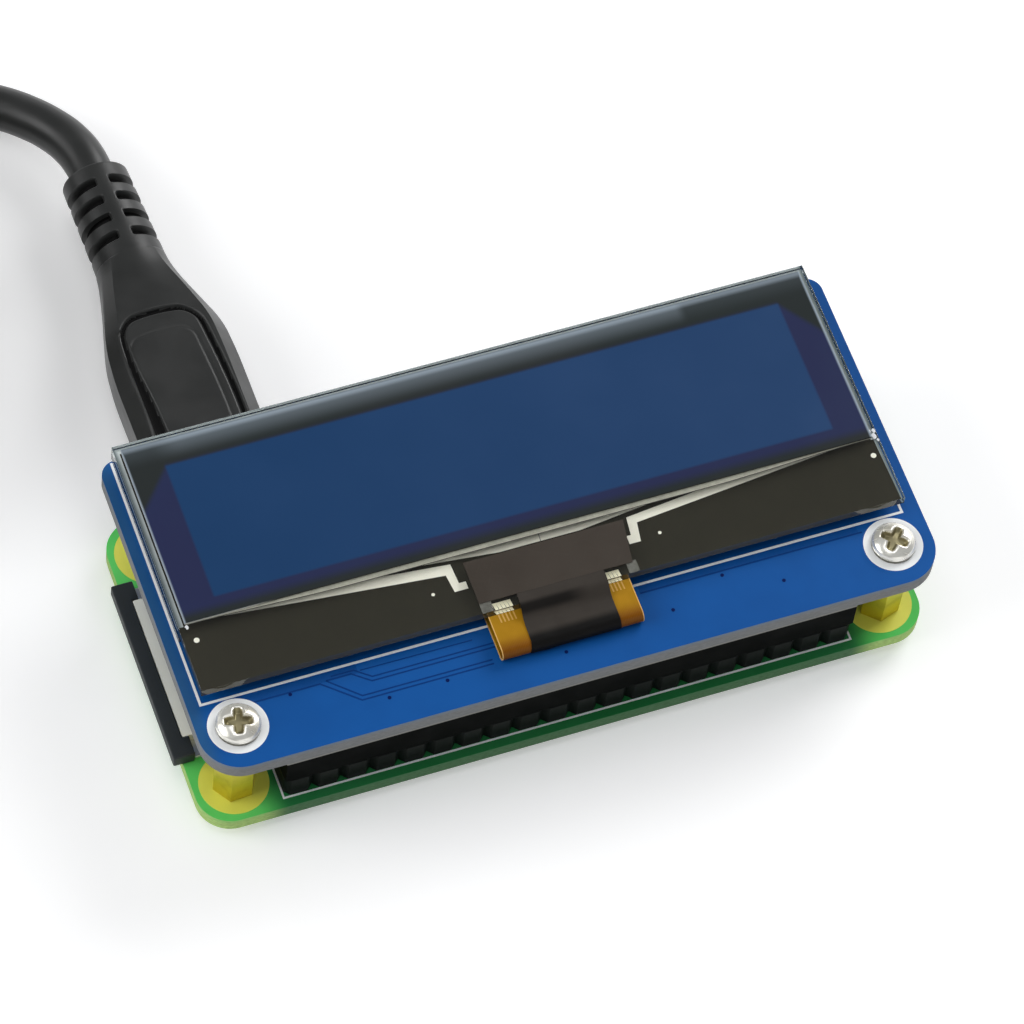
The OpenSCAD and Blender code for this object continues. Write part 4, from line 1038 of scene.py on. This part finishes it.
def make_floor():
    """A wide pale floor that shows as white and keeps the module's shadow."""
    reach, z = 2.0, -0.00005  # metres; just under the module
    mesh = bpy.data.meshes.new("floor")
    mesh.from_pydata(
        [(-reach, -reach, z), (reach, -reach, z), (reach, reach, z), (-reach, reach, z)], [], [[0, 1, 2, 3]]
    )
    finish, tree, shader = new_finish("floor_paper", Specular_IOR_Level=0.0, Roughness=0.9)
    point = add(tree, "TexCoord").outputs["Object"]
    fibres = noise(tree, point, 300.0, 4.0, 0.6)
    paper = tint(tree, fibres, (0.86, 0.86, 0.86, 1), (0.88, 0.88, 0.88, 1))
    feed(tree, shader.inputs["Base Color"], paper)
    rays = add(tree, "LightPath").outputs
    seen = calc(tree, "MAXIMUM", rays["Is Camera Ray"], calc(
        tree, "MAXIMUM", rays["Is Glossy Ray"], rays["Is Transmission Ray"]))
    glow = add(tree, "Emission", {"Color": (1, 1, 1, 1), "Strength": calc(tree, "MULTIPLY", seen, 0.32)})
    both = add(tree, "AddShader")
    tree.links.new(shader.outputs[0], both.inputs[0])
    tree.links.new(glow.outputs[0], both.inputs[1])
    tree.links.new(both.outputs[0], tree.nodes["Material Output"].inputs["Surface"])
    mesh.materials.append(finish)
    put("floor", mesh)


def make_room():
    """White all round for the camera; for the light, brightest low at the back and dim in front."""
    world = bpy.data.worlds.new("studio")
    bpy.context.scene.world = world
    world.use_nodes = True
    tree = world.node_tree
    _, depth, height = split(tree, add(tree, "TexCoord").outputs["Generated"])
    sides = tint(tree, ease(tree, depth, -0.6, 0.5), (0.34, 0.34, 0.36, 1), (0.95, 0.95, 0.97, 1))
    grey = tint(tree, ease(tree, height, 0.05, 0.6), sides, (0.17, 0.175, 0.185, 1))
    seen = add(tree, "LightPath").outputs["Is Camera Ray"]
    feed(tree, tree.nodes["Background"].inputs["Color"], tint(tree, seen, grey, (1, 1, 1, 1)))


def soft_lamp(name, place, size, watts):
    """A square soft box turned towards the module."""
    data = bpy.data.lights.new(name, "AREA")
    data.size = size
    data.energy = watts
    lamp = put(name, data)
    lamp.location = place
    lamp.rotation_euler = (Vector((0, 0, 0.01)) - Vector(place)).to_track_quat("-Z", "Y").to_euler()


make_floor()
make_room()
soft_lamp("key_lamp", (0.56, 0.34, 0.47), 0.42, 3.3)
soft_lamp("left_lamp", (-0.62, 0.1, 0.4), 0.5, 2.5)
soft_lamp("top_lamp", (-0.1, -0.02, 0.8), 0.45, 1.3)
soft_lamp("front_lamp", (0.05, -0.62, 0.3), 0.5, 0.7)

# ------------------------------------------------------------------ display board


def make_display_print():
    """White outline of the panel and white rings at both screws."""
    shape = Shape()
    low, high = BOARD_TOP, BOARD_TOP + LAYER
    line = 0.22
    left, right, front = -31.34, 30.87, -8.77
    shape.strip([(left, 15.3), (left, front), (right, front), (right, -7.75)], line, low, high)
    for x, y in FRONT_HOLES:
        shape.ring(x, y, 1.5, 2.55, low, high)
    shape.piece("display_print", [WHITE_INK])


def make_display_traces():
    """Traces, strips of painted shadow in front of the ledge and covered vias under the blue lacquer."""
    shape = Shape()
    low, high = BOARD_TOP, BOARD_TOP + 0.018
    trace, ledge_shadow, via = 0, 1, 2
    pairs = [
        ([(-6.3, -10.4), (-17.0, -10.4), (-18.3, -9.4), (-20.3, -9.4)], 0.13),
        ([(-6.3, -10.78), (-17.15, -10.78), (-18.6, -9.66), (-20.8, -9.66)], 0.13),
        ([(-7.0, -11.86), (-18.35, -11.86), (-20.8, -9.66)], 0.13),
        ([(-7.0, -12.24), (-18.5, -12.24), (-21.4, -9.75)], 0.13),
        ([(-8.0, -9.62), (-17.8, -9.56)], 0.1),
    ]
    for line, width in pairs:
        shape.strip(line, width, low, high, trace)
    # darker lacquer just in front of the ledge: painted shadow of the ledge
    shape.strip([(-28.4, -9.3), (-18.0, -9.3)], 0.9, low, high - 0.008, ledge_shadow)
    shape.strip([(6.9, -9.2), (26.6, -9.2)], 0.62, low, high - 0.008, ledge_shadow)
    shape.strip([(6.9, -9.6), (26.9, -9.6)], 0.14, low, high, trace)
    shape.strip([(-28.4, -9.8), (-21.4, -9.8)], 0.14, low, high, trace)
    for x, y in (
        (-24.0, -10.0), (-16.3, -12.7), (-11.2, -12.6), (-0.9, -13.0), (9.0, -11.9), (14.1, -10.0),
        (18.9, -12.0),
    ):
        shape.disc(x, y, 0.16, low, high + 0.006, via)
    shape.piece("display_traces", [BLUE_TRACE, BLUE_LEDGE_SHADOW, BLUE_VIA])


def make_display_underside():
    """Pads, traces and vias on the underside, over the host board."""
    shape = Shape()
    low, high = BOARD_UNDER - 0.018, BOARD_UNDER
    trace, pad, via, ink = range(4)
    for i in range(20):
        x = (i - 9.5) * 2.54
        for y in (-HOLE_Y - 2.8, -HOLE_Y + 2.8):
            shape.block((x - 0.45, y - 0.7, high - LAYER), (x + 0.45, y + 0.7, high), pad)
    for k in range(6):
        x = 12 + 2.4 * k
        bend = -1.0 - 0.4 * k
        shape.strip([(x, -7.4), (x, bend), (x + 1.2, bend + 1.2), (x + 1.2, 2.0)], 0.2, low, high, trace)
    for k in range(5):
        x = -14 + 3.0 * k
        shape.strip([(x, -7.4), (x, -3.0), (x - 1.5, -1.5), (x - 1.5, 1.6)], 0.2, low, high, trace)
    draw = random.Random(11)
    for _ in range(40):
        x, y = draw.uniform(-30, 30), draw.uniform(5, 14)
        shape.disc(x, y, 0.28, low - 0.005, high, via)
    for x, y in FRONT_HOLES:
        shape.ring(x, y, 1.5, 2.7, high - LAYER, high, ink)
    shape.piece("display_underside", [BLUE_TRACE, FINISH["tin"], BLUE_VIA, WHITE_INK])


make_display_print()
make_display_traces()
make_display_underside()

# ------------------------------------------------------------------ screws


def make_screws(name, node, places, seat, up, turns):
    """Pan heads with a soft cross recess; the shank is plain, inside the spacer."""
    radius, height, rim, recess_deep = 1.9, 1.28, 0.62, 0.6
    crown_r = (radius ** 2 + (height - rim) ** 2) / (2 * (height - rim))
    rings, sides = 44, 96
    shape = Shape()
    for (x0, y0), turn in zip(places, turns):
        axis = math.radians(turn)
        rows = []
        for i in range(rings + 1):
            r = radius * math.sin(math.pi / 2 * (i / rings) ** 0.92) if i < rings else radius
            row = []
            for k in range(sides):
                a = 2 * math.pi * k / sides
                u, v = r * math.cos(a - axis), r * math.sin(a - axis)
                top = height - crown_r + math.sqrt(crown_r ** 2 - min(r, radius) ** 2)
                top -= 0.16 * smooth_share(r, radius - 0.2, radius)
                arms = []
                for along, across in ((u, v), (v, u)):
                    taper = 0.5 - 0.13 * abs(along)
                    side = smooth_share(abs(across), taper - 0.26, taper + 0.14)
                    tip = smooth_share(abs(along), 0.8, 1.34)
                    arms.append((1 - side) * (1 - tip))
                level = seat + up * (top - recess_deep * max(arms))
                row.append((x0 + r * math.cos(a), y0 + r * math.sin(a), level))
            rows.append(row)
        lower = [
            [(*point, seat + up * z) for point in circle(x0, y0, r, sides)]
            for r, z in ((radius, 0.4), (radius, 0.1), (radius - 0.08, 0.0), (0.95, 0.0), (0.95, -1.7))
        ]
        first = len(shape.faces)
        shape.sheet(rows[1:] + lower, closed=True)
        shape.add([rows[0][0]] + rows[1], [[0, 1 + k, 1 + (k + 1) % sides] for k in range(sides)])
        shape.add(lower[-1], [list(range(sides))])
        for index in range(first, len(shape.faces)):
            face = [Vector(shape.points[i]) for i in shape.faces[index]]
            middle = sum(face, Vector()) / len(face)
            level = (middle.z - seat) * up
            out = math.hypot(middle.x - x0, middle.y - y0)
            # painted shade: faces in the recess and round the head's lower side get the darker plates
            if out < 1.2 and 0 < level < height - 0.34:
                shape.marks[index] = 1
            elif out > radius - 0.05 and level < 0.42:
                shape.marks[index] = 2
    shape.piece(
        name, [FINISH["screw_nickel"], RECESS_SHADE, HEAD_SIDE_SHADE], smooth=35, stands_for=[node]
    )


make_screws("panel_screws", "top_screws", FRONT_HOLES, BOARD_TOP, 1, [76, 48])
make_screws("base_screws", "bottom_screws", FRONT_HOLES, HOST_UNDER, -1, [20, 63])

# ------------------------------------------------------------------ panel


def make_panel_layers():
    """What shows through the glass: the dark layer, the silver conductors and the register dots."""
    margin, ledge_back = 0.5, -2.3
    layer = LEDGE_UNDER + 0.004
    dark = Shape()
    dark.block(
        (GLASS_LEFT + 0.08, GLASS_FRONT + 0.06, layer),
        (GLASS_RIGHT - 0.08, ledge_back, layer + 0.01),
    )
    dark.block(
        (GLASS_LEFT + margin, ledge_back, layer),
        (GLASS_RIGHT - margin, GLASS_BACK - margin, layer + 0.01),
    )
    dark.piece("panel_dark_layer", [LEDGE_BLACK])

    bright = Shape()
    low, high = layer + 0.02, layer + 0.035
    left = [
        (-29.6, -1.7), (-29.6, -2.05), (-8.5, -4.1), (-8.3, -5.8), (-7.1, -5.8), (-7.1, -5.1),
        (-7.7, -5.1), (-7.8, -3.2), (-18.6, -2.15), (-18.6, -1.7),
    ]
    right = [
        (29.0, -1.7), (18.6, -1.7), (18.6, -2.2), (7.8, -3.3), (7.6, -5.0), (7.2, -5.0),
        (7.2, -5.8), (8.2, -5.8), (8.5, -4.0), (29.0, -2.05),
    ]
    middle_left = [(-17.2, -1.7), (-17.2, -1.88), (-3.5, -3.3), (0.15, -3.3), (0.25, -1.7)]
    middle_right = [(0.3, -1.7), (0.2, -3.3), (3.7, -3.3), (15.4, -2.0), (15.4, -1.7)]
    for outline in (left, right, middle_left, middle_right):
        bright.prism(outline, low, high)
    for x, y, radius in (
        (-30.1, -3.8, 0.24), (30.0, -3.8, 0.24), (-10.1, -5.5, 0.15), (10.0, -5.5, 0.15),
    ):
        bright.disc(x, y, radius, low, high)
    bright.piece("ledge_conductors", [SILVER])

    seal = Shape()
    left, right, back = GLASS_LEFT + 0.06, GLASS_RIGHT - 0.06, GLASS_BACK - 0.06
    front, bead = ledge_back, margin
    for outline in (
        [(left, front), (left + bead, front), (left + bead, back - bead), (left, back)],
        [(right - bead, front), (right, front), (right, back), (right - bead, back - bead)],
        [(left, back), (left + bead, back - bead), (right - bead, back - bead), (right, back)],
        [(right - 0.28, front), (right - 0.14, -8.5), (right, -8.5), (right, front)],
    ):
        seal.prism(outline, low, high)
    seal.piece("panel_seal", [SEAL])

    fringe = Shape()
    left, right = SHEET_LEFT + 0.1, SHEET_RIGHT - 0.1
    steps = [left + (right - left) * i / 40 for i in range(41)]
    bow = [(x, SHEET_FRONT - 0.05 - 0.39 * (1 - smooth_share(abs(x + 0.2), 16, 30))) for x in steps]
    fringe.prism(bow + [(right, SHEET_FRONT), (left, SHEET_FRONT)], GLASS_TOP, GLASS_TOP + 0.02)
    fringe.strip([(x, y - 0.03) for x, y in bow], 0.05, GLASS_TOP, GLASS_TOP + 0.022, 1)
    fringe.piece("polarizer_fringe", [SMOKY_FRINGE, FRINGE_LINE])

    # pale jagged patches on the glass top at both ends of the ledge's back edge
    chips = Shape()
    turns = [2 * math.pi * k / 9 for k in range(9)]
    for x, y, size in (
        (-30.6, -2.7, 0.14), (30.55, -2.3, 0.2), (30.7, -1.8, 0.15), (30.35, -1.75, 0.1),
        (30.75, -2.75, 0.1),
    ):
        jagged = [size * (1 + 0.35 * math.sin(5 * a)) for a in turns]
        outline = [(x + r * math.cos(a), y + 1.5 * size * math.sin(a)) for r, a in zip(jagged, turns)]
        chips.prism(outline, GLASS_TOP, GLASS_TOP + 0.05)
    chips.piece("glass_chips", [PALE_GLASS_FLECKS])


make_panel_layers()

# ------------------------------------------------------------------ film and tape

FOLD_Y, FOLD_Z, FOLD_R = -11.75, 13.5, 0.7


def fold_arc(radius, start, end, steps):
    """Points around the film's fold, in y and z."""
    return [
        (FOLD_Y + radius * math.cos(math.radians(a)), FOLD_Z + radius * math.sin(math.radians(a)))
        for a in (start + (end - start) * i / steps for i in range(steps + 1))
    ]


def sweep_band(shape, path, lift, thick, edges, columns, wave, mark=0):
    """A thin band that follows a path in y and z; edges gives its sides for the share of the way."""
    rows = []
    for i, pair in enumerate(zip(offset_line(path, -(lift + thick)), offset_line(path, -lift))):
        t = i / (len(path) - 1)
        left, right = edges(t)
        across = [left + (right - left) * c / columns for c in range(columns + 1)]
        outer, inner = ([(x, y, z + wave(x, t)) for x in across] for y, z in pair)
        rows.append(outer + inner[::-1])
    shape.sheet(rows, mark, closed=True)
    last = 2 * columns + 1
    for row in (rows[0], rows[-1]):
        shape.add(row, [[c, c + 1, last - 1 - c, last - c] for c in range(columns)], mark)


def make_film():
    """The amber film: out from under the ledge, round its fold and back on the board."""
    path = [(-6.1, 14.15), (-7.6, 14.15), (-8.7, 14.15), (-9.8, 14.15), (-10.9, 14.15)]
    path += fold_arc(FOLD_R - 0.05, 90, 270, 24)
    path += [(-9.8, 12.85), (-7.5, 12.85), (-4.5, 12.85)]
    shape = Shape()
    sweep_band(shape, path, -0.05, 0.1, lambda t: (FILM_LEFT, FILM_RIGHT), 24, lambda x, t: 0.0)
    shape.piece("amber_film_strip", [FINISH["film"]], smooth=40, stands_for=["flex_film"])

    fans = Shape()
    top = LEDGE_UNDER + 0.045
    for first, count in ((-5.6, 5), (4.3, 4)):
        for k in range(count):
            x = first + 0.32 * k
            lead_in = [(x, -8.66), (x + 0.26, -8.66), (x + 0.16, -7.78), (x - 0.16, -7.78)]
            fans.prism(lead_in, top, top + 0.01, 1)
            fans.strip([(x + 0.12, -8.72), (x + 0.16, -9.5)], 0.13, 14.2, 14.212, 0)
    fans.piece("film_conductors", [FILM_STRIPE, FAN_GOLD])

    tabs = Shape()
    for left, right in ((-6.9, -5.9), (6.1, 7.0)):
        tabs.block((left, GLASS_FRONT, GLASS_TOP), (right, -7.6, GLASS_TOP + 0.03))
    tabs.piece("clear_tabs", [CLEAR_TAB])


def make_tape():
    """Black tape: a wide patch on the ledge and a narrower tongue over its edge and round the fold."""
    draw = random.Random(5)
    phases = [draw.uniform(0, 6.28) for _ in range(6)]

    def patch_wave(x, t):
        return 0.012 * math.sin(1.7 * x + phases[0] + 3 * t) * math.sin(4 * t + phases[1])

    def tongue_wave(x, t):
        body = smooth_share(t, 0.15, 0.4) * (1 - smooth_share(t, 0.55, 0.8))
        bulge = -0.12 * smooth_share(t, 0.9, 1.0) * math.exp(-(((x + 2.4) / 0.8) ** 2))
        wide, fine = math.sin(1.1 * x + phases[2]), math.sin(3.1 * x + 9 * t + phases[3])
        return bulge + body * (0.03 * wide + 0.012 * fine)

    patch = [(-3.7 - 0.45 * i, GLASS_TOP + 0.04) for i in range(10)]
    shape = Shape()
    sweep_band(shape, patch, -0.04, 0.08, lambda t: (TAPE_LEFT, TAPE_RIGHT - 0.62 * t), 60, patch_wave)
    tongue = [
        (-7.76, 15.14), (-8.1, 15.14), (-8.55, 15.13), (-8.85, 15.06), (-9.1, 14.9), (-9.35, 14.7),
        (-9.6, 14.5), (-9.85, 14.36), (-10.2, 14.28), (-10.7, 14.25), (-11.2, 14.245),
    ]
    tongue += fold_arc(FOLD_R + 0.045, 90, 196, 16)
    sweep_band(shape, tongue, -0.03, 0.07, lambda t: (-3.6 - 0.3 * t, 4.1), 40, tongue_wave, 1)
    shape.piece("black_tape", [FINISH["tape"], TONGUE_TAPE], smooth=50, stands_for=["flex_tape"])


make_film()
make_tape()

# ------------------------------------------------------------------ host board


def make_host_print():
    """White outline round the pin strip and gold-flashed rings at the four holes."""
    shape = Shape()
    low, high = HOST_TOP, HOST_TOP + LAYER
    ink, gold, line = 0, 1, 0.17
    box_left, box_right, box_front, box_back = -25.48, 25.48, -14.15, -8.8
    shape.strip(
        [(box_left, box_back), (box_left, box_front), (box_right, box_front), (box_right, box_back)],
        line, low, high, ink,
    )
    shape.strip([(box_left, box_back), (box_right, box_back)], line, low, high, ink)
    for x, y in FRONT_HOLES + BACK_HOLES:
        shape.ring(x, y, 1.42, 2.97, low, high, gold)
        shape.ring(x, y, 1.42, 2.97, HOST_UNDER - LAYER, HOST_UNDER, gold)
    shape.piece("host_print", [WHITE_INK, RING_GOLD])


def make_host_traces():
    """Bundles of traces and vias under the green lacquer, on both faces."""
    draw = random.Random(3)
    bundles = [
        ([(-20, -8.2), (-20, -6.2), (-18.5, -4.7), (-18.5, 1.5)], 5, 0.42),
        ([(-1.0, -8.2), (-1.0, -6.8), (1.5, -5.4), (1.5, -5.0)], 6, 0.5),
        ([(14.5, -8.2), (14.5, -5.5), (17.0, -3.0), (17.0, 5.5), (19.5, 8.0)], 5, 0.42),
        ([(-27.0, -4.5), (-24.0, -4.5), (-22.0, -2.5), (-13.0, -2.5)], 5, 0.42),
        ([(-10.0, 9.6), (-10.0, 7.6), (-6.0, 3.6), (-4.0, 3.6)], 4, 0.42),
        ([(13.0, 2.0), (15.5, 2.0), (18.5, 5.0), (18.5, 7.6)], 4, 0.42),
    ]
    trace, cover, via, pad = range(4)
    for face, base, way in (("top", HOST_TOP, 1), ("under", HOST_UNDER, -1)):
        shape = Shape()
        low, high = sorted((base, base + way * 0.018))
        for line, count, step in bundles:
            for k in range(count):
                moved = offset_line(line, (k - count / 2) * step)
                if face == "under":
                    moved = [(-x, 0.6 * y + 3.5) for x, y in moved]
                shape.strip(moved, 0.16, low, high, trace)
        for _ in range(90):
            x, y = draw.uniform(-27, 27), draw.uniform(-7.6, 13.2)
            if math.hypot(abs(x) - HOLE_X, y - HOLE_Y) < 4:
                continue
            shape.disc(x, y, 0.26, low, high + (0.006 if way > 0 else 0), cover)
            raised = base + way * 0.026
            shape.disc(x, y, 0.11, min(low, raised), max(high, raised), via)
        if face == "under":
            for k in range(12):
                x = -24 + 4.1 * k
                shape.disc(x, 12.4 if k % 2 else 10.8, 0.6, HOST_UNDER - LAYER, HOST_UNDER, pad, 28)
            for x in (-21.9, -8.9):
                for side in (-1, 1):
                    shape.ring(x + side * 3.6, 11.6, 0.35, 0.85, HOST_UNDER - 0.05, HOST_UNDER, pad, 28)
        shape.piece(
            "host_traces_" + face,
            [GREEN_TRACE, FINISH["green_board"], GREEN_VIA, FINISH["tin"]],
        )


def make_chip_parts(name, node, slot):
    """Chip parts with tinned end caps that stand a little proud of the body."""
    shape = Shape()
    for low, high in solids_of(node):
        size = high - low
        axis = 0 if size.x > size.y else 1
        cap = size[axis] * 0.22
        inset = Vector((0.03, 0.03, 0.03))
        inset[axis] = cap * 0.9
        shape.block(low + inset, high - inset, 0)
        near, far = high.copy(), low.copy()
        near[axis] = low[axis] + cap
        far[axis] = high[axis] - cap
        shape.block(low, near, 1)
        shape.block(far, high, 1)
    shape.piece(name, [FINISH[slot], FINISH["tin"]], bevel=0.05, stands_for=[node])


make_host_print()
make_host_traces()
for owner in ("host", "display"):
    for kind, slot in (("capacitor", "ceramic"), ("resistor", "chip_plastic")):
        make_chip_parts(f"{owner}_{kind}_chips", f"{owner}_{kind}s", slot)

for width, names in {
    0.03: "panel_front_glass panel_rear_glass",
    0.06: "camera_connector_anchors video_socket_sleeve power_socket_sleeve data_socket_sleeve "
          "card_socket_cover lead_far_sleeve lead_plug_tip",
    0.07: "spacers",
    0.08: "pin_strip board_socket_body host_processor host_radio_chip display_regulator host_status_lamp",
    0.1: "camera_connector_body",
    0.12: "camera_connector_latch",
    0.15: "host_crystal host_inductors",
    0.2: "lead_ties",
}.items():
    for node in names.split():
        soften(node, width)

# ------------------------------------------------------------------ end

bpy.context.scene.view_settings.view_transform = "Standard"
